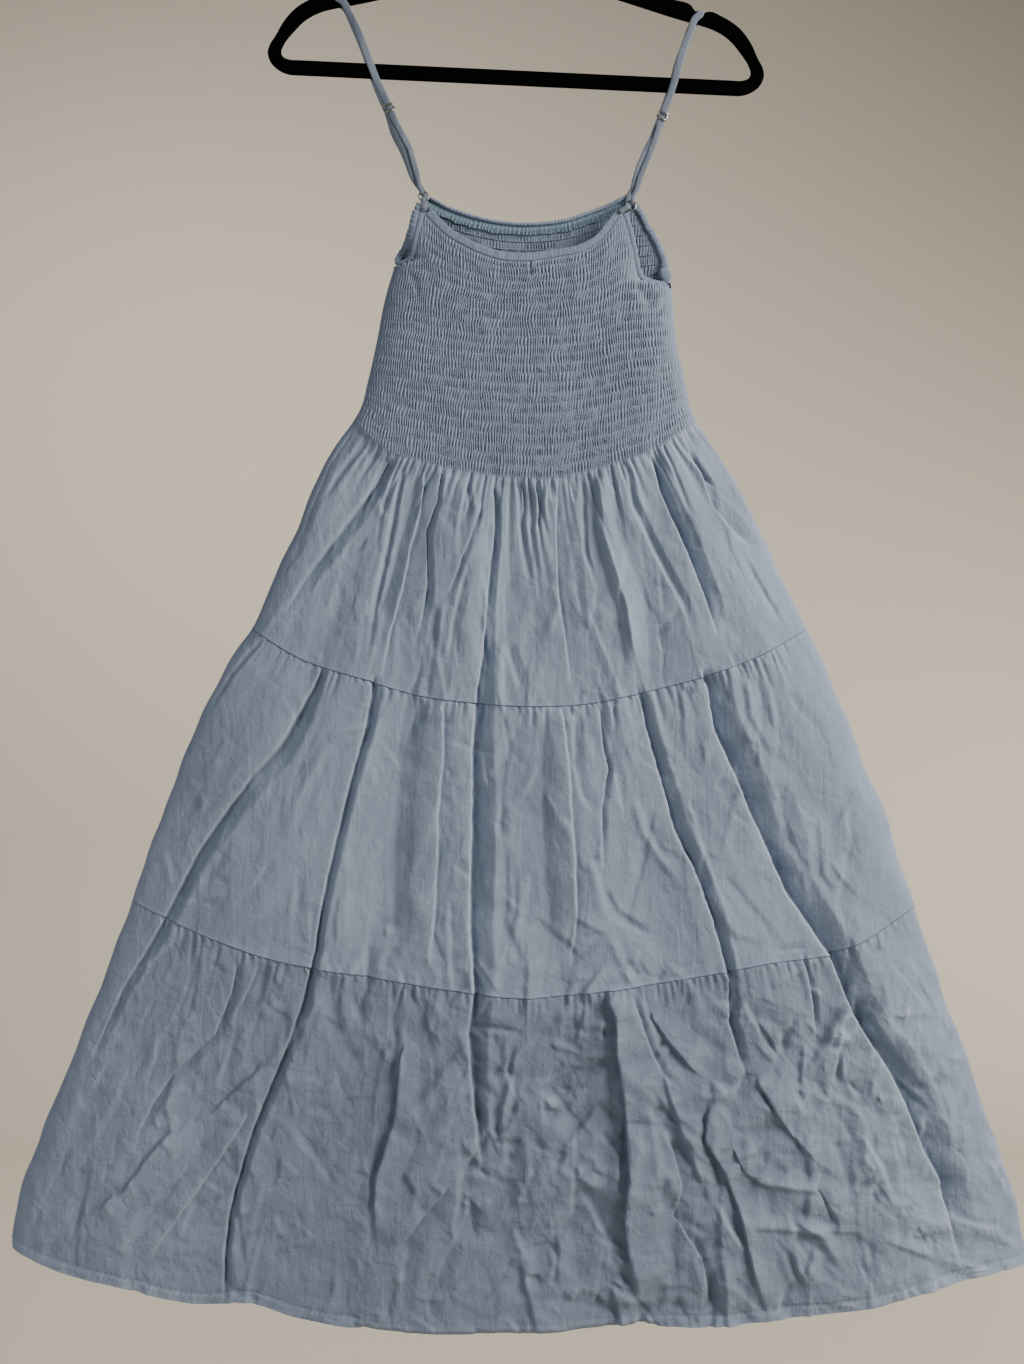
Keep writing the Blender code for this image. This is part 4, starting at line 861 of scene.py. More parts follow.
def grid_mesh(name, points, wear_and_shade=None, closed=False, kept=None):
    """A mesh through rows of points; closed joins each row's ends, and cells not kept are cut off."""
    rows, cols = points.shape[:2]
    number = np.arange(rows * cols).reshape(rows, cols)
    right = np.roll(number, -1, axis=1)
    quads = np.stack([number[:-1], right[:-1], right[1:], number[1:]], axis=-1)
    if not closed:
        quads = quads[:, :-1]
    quads = quads.reshape(-1, 4)
    if kept is not None:
        quads = quads[kept.ravel()[quads].any(axis=1)]
    mesh = bpy.data.meshes.new(name)
    mesh.vertices.add(rows * cols)
    mesh.vertices.foreach_set("co", (points.reshape(-1, 3) * MM).ravel())
    mesh.loops.add(quads.size)
    mesh.loops.foreach_set("vertex_index", quads.ravel())
    mesh.polygons.add(len(quads))
    mesh.polygons.foreach_set("loop_start", np.arange(0, quads.size, 4))
    mesh.update(calc_edges=True)
    mesh.validate()
    mesh.shade_smooth()
    # Colour attribute: crests paler where dye rubs off, and creases, the bodice and the lowest tier darker
    # as painted shade
    if wear_and_shade is not None:
        worn_and_shaded = mesh.attributes.new("wear_and_shade", "FLOAT", "POINT")
        worn_and_shaded.data.foreach_set("value", wear_and_shade.ravel())
    return mesh


def blurred(values, reach):
    """Mean of a grid's values over a square round each, by sums along its rows and columns."""
    for axis in (0, 1):
        pad = [(0, 0), (0, 0)]
        pad[axis] = (reach + 1, reach)
        sums = np.cumsum(np.pad(values, pad, mode="edge"), axis=axis)
        size = values.shape[axis]
        low = np.take(sums, np.arange(size), axis=axis)
        high = np.take(sums, np.arange(size) + 2 * reach + 1, axis=axis)
        values = (high - low) / (2 * reach + 1)
    return values


def wear_and_shade_of(height, where):
    """-1 in the creases, which are painted darker as shade, to 1 on the crests, where dye rubs off first.
    """
    reach, full = WEAR_AND_SHADE[where]
    return np.clip((height - blurred(height, reach)) / full, -1, 1)


def tube(path, wide, widths, thicknesses, sides, power=2.0):
    """Rings of points along a path: an oval, or with a higher power a rounded oblong."""
    steps = unit(np.diff(path, axis=0))
    along = unit(np.vstack([steps[:1], steps]) + np.vstack([steps, steps[-1:]]))
    thin = unit(np.cross(along, wide))
    wide = np.cross(thin, along)
    turn = np.arange(sides) * 2 * math.pi / sides
    cos = np.sign(np.cos(turn)) * np.abs(np.cos(turn)) ** (2 / power)
    sin = np.sign(np.sin(turn)) * np.abs(np.sin(turn)) ** (2 / power)
    flat, deep = (np.broadcast_to(size, len(path))[:, None, None] / 2 for size in (widths, thicknesses))
    return path[:, None] + wide[:, None] * cos[:, None] * flat + thin[:, None] * sin[:, None] * deep


def capped(rings):
    """The rings with their two ends drawn in to a point."""
    ends = [ring.mean(axis=0) + 0 * ring for ring in (rings[0], rings[-1])]
    near = [mix(end, ring, 0.7) for end, ring in zip(ends, (rings[0], rings[-1]))]
    return np.concatenate([[ends[0]], [near[0]], rings, [near[1]], [ends[1]]])


def joined(name, grids, closed=True):
    """One mesh from several tubes of points."""
    bm = bmesh.new()
    for points in grids:
        mesh = grid_mesh(name, points, closed=closed)
        bm.from_mesh(mesh)
        bpy.data.meshes.remove(mesh)
    mesh = bpy.data.meshes.new(name)
    bm.to_mesh(mesh)
    bm.free()
    mesh.shade_smooth()
    return mesh


# ---------------------------------------------------------------- finishes


def linear(code, share=1.0):
    """An sRGB hex colour as linear light, or a share of that light."""
    values = [int(code[i : i + 2], 16) / 255 for i in (0, 2, 4)]
    return (*[share * (v / 12.92 if v <= 0.04045 else ((v + 0.055) / 1.055) ** 2.4) for v in values], 1)


def plug(made, sockets):
    """Gives a node's sockets their values, or their links from other nodes' outputs."""
    for name, value in sockets.items():
        if isinstance(value, bpy.types.NodeSocket):
            made.id_data.links.new(value, made.inputs[name])
        else:
            made.inputs[name].default_value = value


def node(tree, kind, sockets, output=0, stops=(), **settings):
    """Adds a node with its settings, values, links and colour stops, and gives one of its outputs."""
    made = tree.nodes.new(f"ShaderNode{kind}")
    for name, value in settings.items():
        setattr(made, name, value)
    for number, (position, colour) in enumerate(stops):
        elements = made.color_ramp.elements
        stop = elements[number] if number < len(elements) else elements.new(position)
        stop.position = position
        stop.color = colour
    plug(made, sockets)
    return made.outputs[output]


def new_finish(name, **shader):
    """A material with its shader's sockets set, its tree, its shader and where its patterns start."""
    finish = bpy.data.materials.new(name)
    finish.use_nodes = True
    principled = finish.node_tree.nodes["Principled BSDF"]
    plug(principled, {socket.replace("_", " "): value for socket, value in shader.items()})
    return finish, finish.node_tree, principled, node(finish.node_tree, "TexCoord", {}, "Object")


def follow(shader, tint, stops, **relief):
    """Lets a finish's colour follow a pattern through its stops, and its surface follow a relief."""
    colour = node(shader.id_data, "ValToRGB", {"Fac": tint}, stops=stops)
    plug(shader, {"Base Color": colour, "Normal": node(shader.id_data, "Bump", relief)})


def crinkled_cotton(name, deep, body, pale, slub=1.0, pressed=1.0):
    """Piece-dyed cotton voile, tumbled and much used: matt, with paler crests, creases painted darker as
    shade, slubs and a fine crinkle.
    """
    finish, tree, shader, place = new_finish(
        name,
        Roughness=0.88,
        Specular_IOR_Level=0.25,
        Sheen_Weight=0.18,
        Sheen_Roughness=0.5,
        Sheen_Tint=linear("c9d3df"),
    )
    worn_and_shaded = node(tree, "Attribute", {}, "Fac", attribute_name="wear_and_shade")
    # Uneven dye: patches about 90 mm across
    patches = node(tree, "TexNoise", {"Vector": place, "Scale": 11.0, "Detail": 3.0, "Roughness": 0.55})
    # Slubs in the weft and the warp: thick stretches of thread, 12 mm long and 1.4 mm thick
    slubs = []
    for scale in ((80, 80, 700), (700, 700, 80)):
        stretched = node(tree, "Mapping", {"Vector": place, "Scale": scale})
        slubs.append(node(tree, "TexNoise", {"Vector": stretched, "Scale": 1.0, "Detail": 2.0}))
    threads = node(tree, "Math", dict(enumerate(slubs)), operation="ADD")
    dye = node(tree, "Math", {0: patches, 1: 0.34, 2: 0.33}, operation="MULTIPLY_ADD")
    # Crests paler where dye rubs off; creases, the bodice and the lowest tier darker, as painted shade
    rubbed_and_shaded = node(tree, "Math", {0: worn_and_shaded, 1: 0.2, 2: dye}, operation="MULTIPLY_ADD")
    flecked = node(tree, "Math", {0: threads, 1: 0.09 * slub, 2: rubbed_and_shaded}, operation="MULTIPLY_ADD")
    # Fine crinkle, 3 mm across, over the slubs
    crinkle = node(tree, "TexNoise", {"Vector": place, "Scale": 330.0, "Detail": 3.0})
    rise = node(tree, "Math", {0: threads, 1: 0.5, 2: crinkle}, operation="MULTIPLY_ADD")
    weave = node(tree, "Bump", {"Height": rise, "Strength": 0.5, "Distance": 0.0005})
    # Pressed lines: the crumpled net of a cloth that dried unironed, 24 mm and 9 mm across, and lines that
    # run down the cloth for 60 mm
    lines = 0.0
    for scale, height in (((42, 42, 42), pressed), ((110, 110, 110), 0.4 * pressed), ((95, 95, 17), 0.6)):
        turned = node(tree, "Mapping", {"Vector": place, "Scale": scale})
        field = node(tree, "TexNoise", {"Vector": turned, "Scale": 1.0, "Detail": 1.0, "Distortion": 0.6})
        level = node(tree, "Math", {0: field, 1: 0.5}, operation="SUBTRACT")
        fold = node(tree, "Math", {0: level}, operation="ABSOLUTE")
        lines = node(tree, "Math", {0: fold, 1: height, 2: lines}, operation="MULTIPLY_ADD")
    stops = ((0.2, linear(deep)), (0.96, linear(pale)), (0.58, linear(body)))
    follow(shader, flecked, stops, Height=lines, Strength=1.0, Distance=0.0014, Normal=weave)
    return finish


def sewing_thread(name, colour):
    """Spun polyester thread: a faint shine along its twist."""
    finish, tree, shader, place = new_finish(name, Roughness=0.6, Sheen_Weight=0.15)
    # Twist: drawn 2.4 mm long, four times the real one, so that it shows
    twist = node(tree, "TexWave", {"Vector": place, "Scale": 260.0}, "Fac", bands_direction="DIAGONAL")
    stops = ((0, linear(colour, 0.75)), (1, linear(colour)))
    follow(shader, twist, stops, Height=twist, Strength=0.3, Distance=0.0001)
    return finish


def plated_metal(name, colour, roughness):
    """Nickel-plated zinc: bright, with faint rub marks about 1 mm across that dull it in places."""
    finish, tree, shader, place = new_finish(name, Metallic=1.0)
    rubs = node(tree, "TexNoise", {"Vector": place, "Scale": 900.0, "Detail": 4.0})
    dulled = node(tree, "Math", {0: rubs, 1: 0.2, 2: roughness}, operation="MULTIPLY_ADD")
    plug(shader, {"Roughness": dulled})
    stops = ((0, linear(colour, 0.8)), (1, linear(colour)))
    follow(shader, rubs, stops, Height=rubs, Strength=0.08, Distance=0.0001)
    return finish


def flocked_plastic(name):
    """Black nylon flock on a moulded core: near black, with a soft pile that catches light at its edges."""
    finish, tree, shader, place = new_finish(
        name,
        Roughness=1.0,
        Specular_IOR_Level=0.02,
        Sheen_Weight=0.02,
        Sheen_Roughness=0.35,
        Sheen_Tint=linear("6a6c70"),
    )
    # Pile: tufts drawn 1 mm across, coarser than real flock so that they show, stroked flat in places
    tufts = node(tree, "TexNoise", {"Vector": place, "Scale": 1000.0, "Detail": 2.0})
    stroked = node(tree, "TexNoise", {"Vector": place, "Scale": 60.0, "Detail": 3.0})
    pile = node(tree, "Math", {0: tufts, 1: stroked}, operation="MULTIPLY")
    stops = ((0, linear("010101")), (0.5, linear("050505")))
    follow(shader, pile, stops, Height=tufts, Strength=0.6, Distance=0.0004)
    return finish


def painted_wall(name, colour):
    """Matt emulsion on smooth plaster: its faint roller stipple is drawn 11 mm across, so that it shows."""
    finish, tree, shader, place = new_finish(name, Roughness=0.95)
    stipple = node(tree, "TexNoise", {"Vector": place, "Scale": 90.0, "Detail": 2.0})
    stops = ((0, linear(colour, 0.97)), (1, linear(colour)))
    follow(shader, stipple, stops, Height=stipple, Strength=0.05, Distance=0.001)
    return finish


COTTON = crinkled_cotton("crinkled_cotton", "667081", "7c889b", "99a4b6")
# The lowest tier's cotton: the same cloth with more pressed lines, its colours painted a little darker as
# shade
CRUMPLED_SHADED = crinkled_cotton("crumpled_shaded_cotton", "646e7f", "7a8698", "97a2b4", pressed=1.5)
BINDING = crinkled_cotton("cotton_binding", "5e6879", "717d90", "8a95a8", slub=0.8, pressed=0.6)
BAND = crinkled_cotton("cotton_band", "54697a", "697e8d", "8195a3", slub=0.6, pressed=0.3)
STRAP = crinkled_cotton("cotton_rouleau", "59616e", "69727f", "838c99", slub=0.5, pressed=0.3)
THREADS = sewing_thread("cotton_coloured_thread", "7e8ea2")
OVERLOCK = sewing_thread("overlock_thread", "788f9c")
ELASTIC = sewing_thread("elastic_thread", "4f5b69")
# Seam thread coloured darker than the cloth: a painted shadow along the seams and along the foot of the
# front binding
SEAM_SHADE = sewing_thread("seam_thread_and_shade", "55617a")
TRIM = plated_metal("nickel_plate", "a19d97", 0.26)
HOOK = plated_metal("nickel_wire", "c4c2be", 0.2)
FLOCK = flocked_plastic("black_flock")

# ---------------------------------------------------------------- panels


def loose_strip(face, upper, lower, across, down):
    """A strip of loose cloth with folds, creases, crumple and the gathers under its upper line."""
    tier = ("waist", "upper_seam", "lower_seam").index(upper)
    seed = SEEDS[face] + 7 * tier
    ends = line(upper, np.array([-1.0, 1.0]), face)
    half = (edge(face, "right", ends[1]) - edge(face, "left", ends[0])) / 2

    def relief(x, drop, place, share):
        below = drop - line(upper, place, face)
        height, sideways = loose(face, x, drop)
        if upper == "waist":
            height = height * ease(below / 10)
        height = height + gathers(place * half, np.maximum(below, 0), GATHERS[tier], seed)
        if lower == "hem":
            to_hem = line("hem", place, face) - drop
            left, right = ROLLED_HEM
            rolled = ease((x - left) / 8) * ease((right - x) / 8) if face == "front" else 0 * x
            height = height + (1 - rolled) * hem_relief(HEM_BAND - to_hem, x, seed + 3)
            height = height - rolled * ROLLED_DEPTH * np.clip(1 - to_hem / 7, 0, 1) ** 2
        return height, sideways * ease(below / 8)

    return strip(face, upper, lower, across, down, relief)


def upper_panel(face):
    """Bodice and first tier in one piece."""
    across = columns(COLUMNS["upper"][face])
    rows = ELASTICS[face]
    steps = np.arange(STEPS_PER_ELASTIC) / STEPS_PER_ELASTIC
    down = np.append((np.arange(rows)[:, None] + steps).ravel(), rows) / rows

    def relief(x, drop, place, share):
        height = shirring(x, share * rows, SEEDS[face]) * ease(share * rows / 0.5)
        if face == "back":
            return height, 0
        tuck = TUCK_DEPTH * section(x - TUCK_X, 1.2, 2.2, 0.2) * ease((TUCK_FOOT - drop) / 14)
        rumpled_in, _ = fold_depth(UNDERARM_CREASES, x, drop)
        return height - tuck - rumpled_in, 0

    bodice, shirred = strip(face, "neck", "waist", across, down, relief)
    skirt, hung = loose_strip(face, "waist", "upper_seam", across, np.linspace(0, 1, SKIRT_ROWS + 1)[1:])
    points = np.concatenate([bodice, skirt])
    # Painted shade: the bodice darker as a whole, and the creases darker in the bodice and the skirt
    wear_and_shade = np.concatenate([wear_and_shade_of(shirred, "bodice") + BODICE_PAINTED_SHADE, wear_and_shade_of(hung, "skirt")])
    kept = np.abs(placed(face, points[..., 0], -points[..., 2])) <= 1
    kept[len(bodice) :] = True
    mesh = grid_mesh("upper", points, wear_and_shade, kept=kept)
    return add_piece(f"dress_upper_{face}", mesh, COTTON, "dress_cloth", f"upper_{face}")


def tier_panel(name, face, upper, lower, finish):
    """A gathered tier; its rows are closer under the seam and along its lower edge."""
    middle = np.linspace(0.03, 0.95, TIER_ROWS[name][face] - 24)
    down = np.concatenate([np.linspace(0, 0.03, 11)[:-1], middle[:-1], np.linspace(0.95, 1, 15)])
    across = columns(COLUMNS[name][face])
    points, hung = loose_strip(face, upper, lower, across, down)
    worn_and_shaded = wear_and_shade_of(hung, "skirt")
    if lower == "hem":
        to_hem = line("hem", across, face) + points[..., 2]
        worn_and_shaded = worn_and_shaded + 0.55 * ease((HEM_BAND + 0.6 - to_hem) / 1.2)
        out = points[..., 0]
        # Painted shade: the front's lowest tier darker in its left and middle
        worn_and_shaded = worn_and_shaded + LOW_TIER_PAINTED_SHADE[face] * ease((out + 340) / 130) * (1 - ease((out - 150) / 180))
    mesh = grid_mesh(name, points, worn_and_shaded)
    return add_piece(f"dress_{name}_{face}", mesh, finish, "dress_cloth", f"{name}_{face}")


UPPER = {face: upper_panel(face) for face in FACES}
MIDDLE = {face: tier_panel("middle_tier", face, "upper_seam", "lower_seam", COTTON) for face in FACES}
LOWER = {face: tier_panel("lower_tier", face, "lower_seam", "hem", CRUMPLED_SHADED) for face in FACES}

# ---------------------------------------------------------------- edge finishes


def neck_line(face, count):
    """The top edge of a panel and the direction in its own plane that leads off the cloth."""
    across = columns(count)
    x = mix(*corners(face), (across + 1) / 2)
    drop = line("neck", across, face)
    depth, _ = resting(face, across, drop)
    points = world(x, OUTWARD[face] * depth, drop)
    run = np.gradient(points, axis=0)
    return points, unit(np.stack([-run[:, 2], np.zeros(len(run)), run[:, 0]], axis=1))


def neck_band_front():
    """Plain folded binding along the front neck, slightly uneven."""
    points, away = neck_line("front", NECK_BAND_COLUMNS)
    along = np.linspace(0, NECK_BAND_LENGTH, len(points))
    centre = points + away * (NECK_BAND_HEIGHT / 2 - 0.2)
    pucker = np.sin(2 * math.pi * (along / 3.4 + 0.9 * chance(along / 9, 0.5, 60)))
    centre[:, 1] += 1.2 - NECK_BAND_THICKNESS / 2 + 0.15 * chance(along / 9, 0.5, 61) + 0.1 * pucker
    heights = NECK_BAND_HEIGHT + 0.5 * chance(along / 13, 0.5, 62)
    thick = NECK_BAND_THICKNESS + 0.35 * chance(along / 5, 0.5, 63) + 0.12 * pucker
    rings = capped(tube(centre, away, heights, thick, 20, 3.5))
    mesh = joined("neck", [rings])
    return add_piece("neck_binding_front", mesh, BINDING, "bound_edge", "neck_band_front")


def neck_band_back():
    """Turned-in band along the back neck: a rolled top edge, and an overlocked lower edge that ruffles."""
    points, away = neck_line("back", BACK_BAND_COLUMNS)
    along = np.arange(len(points)) * BACK_BAND_STEP
    phase = along / 3.4 + 0.9 * chance(along / 11, 0.5, 65)
    ruffle = np.sin(2 * math.pi * phase) * (0.6 + 0.6 * chance(along / 13, 0.5, 66))
    flare = 0.9 * chance(along / 10, 0.5, 67) + 0.5 * chance(along / 4, 0.5, 68)
    rows = []
    for share in np.linspace(0, 1, 9):
        height = BACK_BAND_LOW + BACK_BAND_HEIGHT * share + flare * (1 - share) ** 2
        row = points + away * height[:, None]
        row[:, 1] += 0.2 - 1.7 * (1 - share) - (0.15 + 0.55 * (1 - share) ** 1.5) * ruffle
        rows.append(row)
    band = grid_mesh("neck_back", np.stack(rows))
    piece = add_piece("neck_band_inside_back", band, BAND, "overlocked_band", "neck_band_back")
    centre = points + away * (BACK_BAND_LOW + BACK_BAND_HEIGHT + 0.3)
    centre[:, 1] -= 0.9
    twist = np.abs(np.sin(math.pi * (along / 2.6 + 0.5 * chance(along / 6, 0.5, 69))))
    rings = capped(tube(centre, away, ROLL_THICKNESS + 0.5 * twist, ROLL_THICKNESS + 0.6 * twist, 12))
    return piece, add_piece("neck_roll_back", joined("roll", [rings]), COTTON, "dress_cloth")


def armhole_edge(face, side):
    """An armhole's edge from the neck's corner to the top of the side seam."""
    top = float(line("neck", -1.0 if side == "left" else 1.0, face))
    drop = np.linspace(top, underarm(face, side), 40)
    return world(edge(face, side, drop), OUTWARD[face] * edge_depth(face, side, drop), drop)


def offset_edge(points, side, distance):
    """Moves an edge out of its panel, square to the edge as seen from the front."""
    run = unit(np.gradient(points[:, (0, 2)], axis=0))
    turn = 1 if side == "right" else -1
    out = np.stack([-run[:, 1], 0 * run[:, 0], run[:, 0]], axis=1) * turn
    return points + out * distance, out


def armhole_binding(side):
    """Rolled binding: smooth down the front edge, gathered up the back edge, puffed under the arm."""
    distance = ARM_BINDING_GAP + ARM_BINDING_WIDTH / 2
    front, front_out = offset_edge(armhole_edge("front", side), side, distance)
    back, back_out = offset_edge(armhole_edge("back", side), side, distance)
    front[:, 1] = np.minimum(front[:, 1] + 0.6, -1.6)
    back[:, 1] = np.maximum(back[:, 1] - 0.6, 1.6)
    route = np.vstack([front[:-2], (front[-2:-1] + back[-2:-1]) / 2, back[:-2][::-1]])
    out = np.vstack([front_out[:-2], unit(front_out[-2:-1] + back_out[-2:-1]), back_out[:-2][::-1]])
    path = smooth_path(np.hstack([route, out]), ARM_BINDING_STEP)
    for _ in range(ARM_BINDING_ROUNDS):
        path[1:-1] = mix(path[1:-1], (path[:-2] + path[2:]) / 2, 0.8)
    centre, out = path[:, :3], unit(path[:, 3:])
    share = np.linspace(0, 1, len(path))
    along = share * len(path) * ARM_BINDING_STEP
    turn = len(front) / (len(front) + len(back))
    gathered = ease((share - turn + 0.04) / 0.12)
    puff = np.abs(np.cos(math.pi * (along / 4.2 + 0.5 * chance(along / 7, 0.5, 71))))
    bunch = np.exp(-(((share - turn - 0.07) / 0.055) ** 2)) * ROLL_BUNCH[side]
    centre = centre + out * (gathered * 0.8 * chance(along / 5.5, 0.5, 72) - 0.6 * bunch)[:, None]
    widths = ARM_BINDING_WIDTH + gathered * (1.5 * puff - 0.3) + bunch * (0.7 + 0.5 * puff)
    thick = ARM_BINDING_THICKNESS + gathered * (1.3 * puff - 0.2) + bunch * (0.3 + 0.3 * puff)
    rings = capped(tube(centre, out, widths, thick, 18, 2.6))
    mesh = joined("armhole", [rings])
    return add_piece(f"armhole_roll_{side}", mesh, BINDING, "bound_edge", f"armhole_binding_{side}")


TRIMS = {"front": [neck_band_front()], "back": [*neck_band_back()]}
TRIMS["front"] += [armhole_binding(side) for side in SIDES]

# ---------------------------------------------------------------- straps


def tilted(x, y, drop):
    """A point of the hanger, which hangs a little lower on its right."""
    cos = math.cos(HANGER_TILT)
    sin = math.sin(HANGER_TILT)
    return np.array([x * cos - drop * sin, y, -(x * sin + drop * cos)])


def strap_route(side):
    route = STRAP_ROUTES[side]
    return world(route["x"], route["y"], route["drop"])


def strap_frame(side):
    """A strap's direction up from the ring, and its flat direction there."""
    up = unit((strap_route(side)[1] - strap_route(side)[0]) * (1, 0, 1))
    return up, np.array([up[2], 0, -up[0]])


def along_route(points, drops):
    upside = points[::-1]
    return np.stack([smooth(-upside[:, 2], values, drops) for values in upside.T], axis=1)


def half_circle(centre, radius, first, second):
    """Points of half a turn round a centre: it starts on its first side and passes its second."""
    turns = [math.radians(degrees) for degrees in range(0, 181, 30)]
    return [centre + radius * (first * math.cos(turn) + second * math.sin(turn)) for turn in turns]


def strap_path(side):
    """A strap's middle: down from the slider, round the ring, up through the slider, over and down."""
    points = strap_route(side)
    up, wide = strap_frame(side)
    ring_centre = points[0]
    ring_drop = -ring_centre[2]
    join_drop = ring_drop - STRAND_JOIN
    slider_drop = SLIDER_DROP[side]
    forward = wide * STRAND_ASIDE - BACKWARDS * STRAND_SPREAD
    front_bow, rear_bow = STRAND_BOW[side]
    bow = np.sin(np.linspace(0, math.pi, 6))[:, None]
    aside = np.linspace(STRAND_ASIDE, -STRAND_ASIDE, 6)[:, None]
    rear = along_route(points, np.linspace(slider_drop + SLIDER_HEIGHT / 2 + 0.3, join_drop, 6))
    rear = rear + wide * (aside + rear_bow * bow)
    rear = rear + BACKWARDS * STRAND_SPREAD * (1 - 0.6 * bow)
    loop_centre = ring_centre + up * (RING_RADIUS - RING_WIRE / 2)
    mouth_rise, mouth_half = STRAP_LOOP_MOUTH
    mouth = loop_centre + up * mouth_rise
    loop = half_circle(loop_centre, STRAP_LOOP_RADIUS, BACKWARDS, -up)
    loop = [mouth + BACKWARDS * mouth_half, *loop, mouth - BACKWARDS * mouth_half]
    front = along_route(points, np.linspace(join_drop, slider_drop, 6)) + forward
    front = front + (wide * front_bow + BACKWARDS * 0.6 * STRAND_SPREAD) * bow
    notch_x, notch_drop = HANGER_NOTCH
    top = tilted(-notch_x if side == "left" else notch_x, 0, notch_drop)
    top_drop = -top[2]
    high = along_route(points, np.linspace(slider_drop - 12, top_drop + 6, 8))
    high = high + np.linspace(1, 0, 8)[:, None] * forward
    rest = STRAP_THICKNESS / 2 + 0.2
    side_y = HANGER_THICKNESS / 2 + rest + 0.3
    # Over the hanger's arm: how far behind the arm's middle each point lies, and how far below the notch
    over = [(-side_y, 2.4), (-side_y + 0.2, 0.6), (-2.5, -rest + 0.3), (-1.2, -rest), (0, -rest)]
    over += [(-y, fall) for y, fall in reversed(over[:-1])]
    bridge = [top + np.array([0, y, -fall]) for y, fall in over]
    down = along_route(points, np.linspace(top_drop + 6, ring_drop - 24, 9))
    down[:, 1] = side_y
    corner_x, corner_drop = BACK_CORNER[side]
    end = np.array([[corner_x, 1.9, -corner_drop + 8], [corner_x, 1.7, -corner_drop]])
    return smooth_path(np.vstack([rear, loop, front, high, bridge, down, end]), STRAP_STEP)


def strap(side):
    """One strap: a flat turned tube, narrower at the ring and where it is doubled, that twists a little."""
    path = strap_path(side)
    from_ring = np.linalg.norm(path - strap_route(side)[0], axis=1)
    along = np.arange(len(path)) * STRAP_STEP
    doubled = ease((SLIDER_DROP[side] + path[:, 2] + 6) / -8) * (path[:, 1] < 0)
    widths = mix(STRAP_WIDTH_AT_RING, STRAP_WIDTH, ease((from_ring - 8) / 18)) - 1.3 * doubled
    widths = widths + 0.35 * chance(along / 16, 0.5, 81)
    thick = STRAP_THICKNESS + 0.2 * chance(along / 7, 0.5, 82)
    flat = tilted(1.0, 0, 0.12 if side == "right" else -0.12)
    turn = 0.35 * chance(along / 45, 0.5, 84 if side == "left" else 86)
    twisted = flat * np.cos(turn)[:, None] + BACKWARDS * np.sin(turn)[:, None]
    wide = mix(flat, twisted, ease((from_ring - 20) / 20)[:, None])
    mesh = joined("strap", [capped(tube(path, wide, widths, thick, 14, 2.8))])
    return add_piece(f"shoulder_strap_{side}", mesh, STRAP, "strap_cloth", f"strap_{side}")


def tab(side):
    """Short loop of cloth that holds the ring to the front corner of the neck."""
    ring_centre = strap_route(side)[0]
    corner = armhole_edge("front", side)[0] + np.array([0, 0, NECK_BAND_HEIGHT / 2])
    down = unit((corner - ring_centre) * (1, 0, 1))
    centre = ring_centre + down * RING_RADIUS
    foot = centre + down * TAB_LENGTH
    middle = (centre + foot) / 2
    back = BACKWARDS * TAB_LOOP_RADIUS
    loop = half_circle(centre, TAB_LOOP_RADIUS, -BACKWARDS, -down)
    path = smooth_path(np.array([foot - back, middle - back, *loop, middle + back, foot + back]), 0.8)
    mesh = joined("tab", [capped(tube(path, (-down[2], 0, down[0]), TAB_WIDTH, STRAP_THICKNESS, 14, 2.8))])
    return add_piece(f"ring_tab_{side}", mesh, STRAP, "strap_cloth", f"tab_{side}")


def round_wire(path, radius, sides=12):
    """A round wire along a path that doesn't run straight down the depth."""
    return tube(path, (0.0, 1.0, 0.001), 2 * radius, 2 * radius, sides)


def ring(side):
    """Small metal ring between the tab and the strap."""
    turn = np.linspace(0, 2 * math.pi, 49)
    centre = strap_route(side)[0]
    path = centre + RING_RADIUS * np.stack([np.cos(turn), 0 * turn, np.sin(turn)], axis=1)
    mesh = joined("ring", [round_wire(path, RING_WIRE)])
    return add_piece(f"strap_ring_{side}", mesh, TRIM, "trim_metal", f"ring_{side}")


def slider(side):
    """Wire slider: a rounded frame in front of the strap with a bar behind it."""
    drop = SLIDER_DROP[side]
    above, place, below = along_route(strap_route(side), np.array([drop - 8, drop, drop + 8]))
    up = unit((above - below) * (1, 0, 1))
    wide = np.array([up[2], 0, -up[0]])
    place = place + strap_frame(side)[1] * STRAND_ASIDE - BACKWARDS * STRAND_SPREAD
    reach = STRAP_WIDTH / 2 + 0.9
    clear = STRAP_THICKNESS / 2 + 0.3 + SLIDER_WIRE
    rise = SLIDER_HEIGHT / 2 - SLIDER_WIRE
    corners_above = [(-1, 0.7), (-0.9, 1), (0.9, 1), (1, 0.7)]
    corners_below = [(-x, -z) for x, z in corners_above]
    outline = []
    for x, z in corners_above + corners_below + corners_above[:1]:
        deep = -clear if abs(z) == 1 else -0.4 * clear
        outline.append(place + wide * x * reach + up * z * rise + BACKWARDS * deep)
    bar = place + wide * np.linspace(-1, 1, 9)[:, None] * reach + BACKWARDS * clear * 0.8
    grids = [round_wire(np.array(outline), SLIDER_WIRE), capped(round_wire(bar, SLIDER_WIRE))]
    return add_piece(f"strap_slider_{side}", joined("slider", grids), TRIM, "trim_metal", f"slider_{side}")


for side in SIDES:
    TRIMS["front"] += [strap(side), tab(side), ring(side), slider(side)]

# ---------------------------------------------------------------- sewing


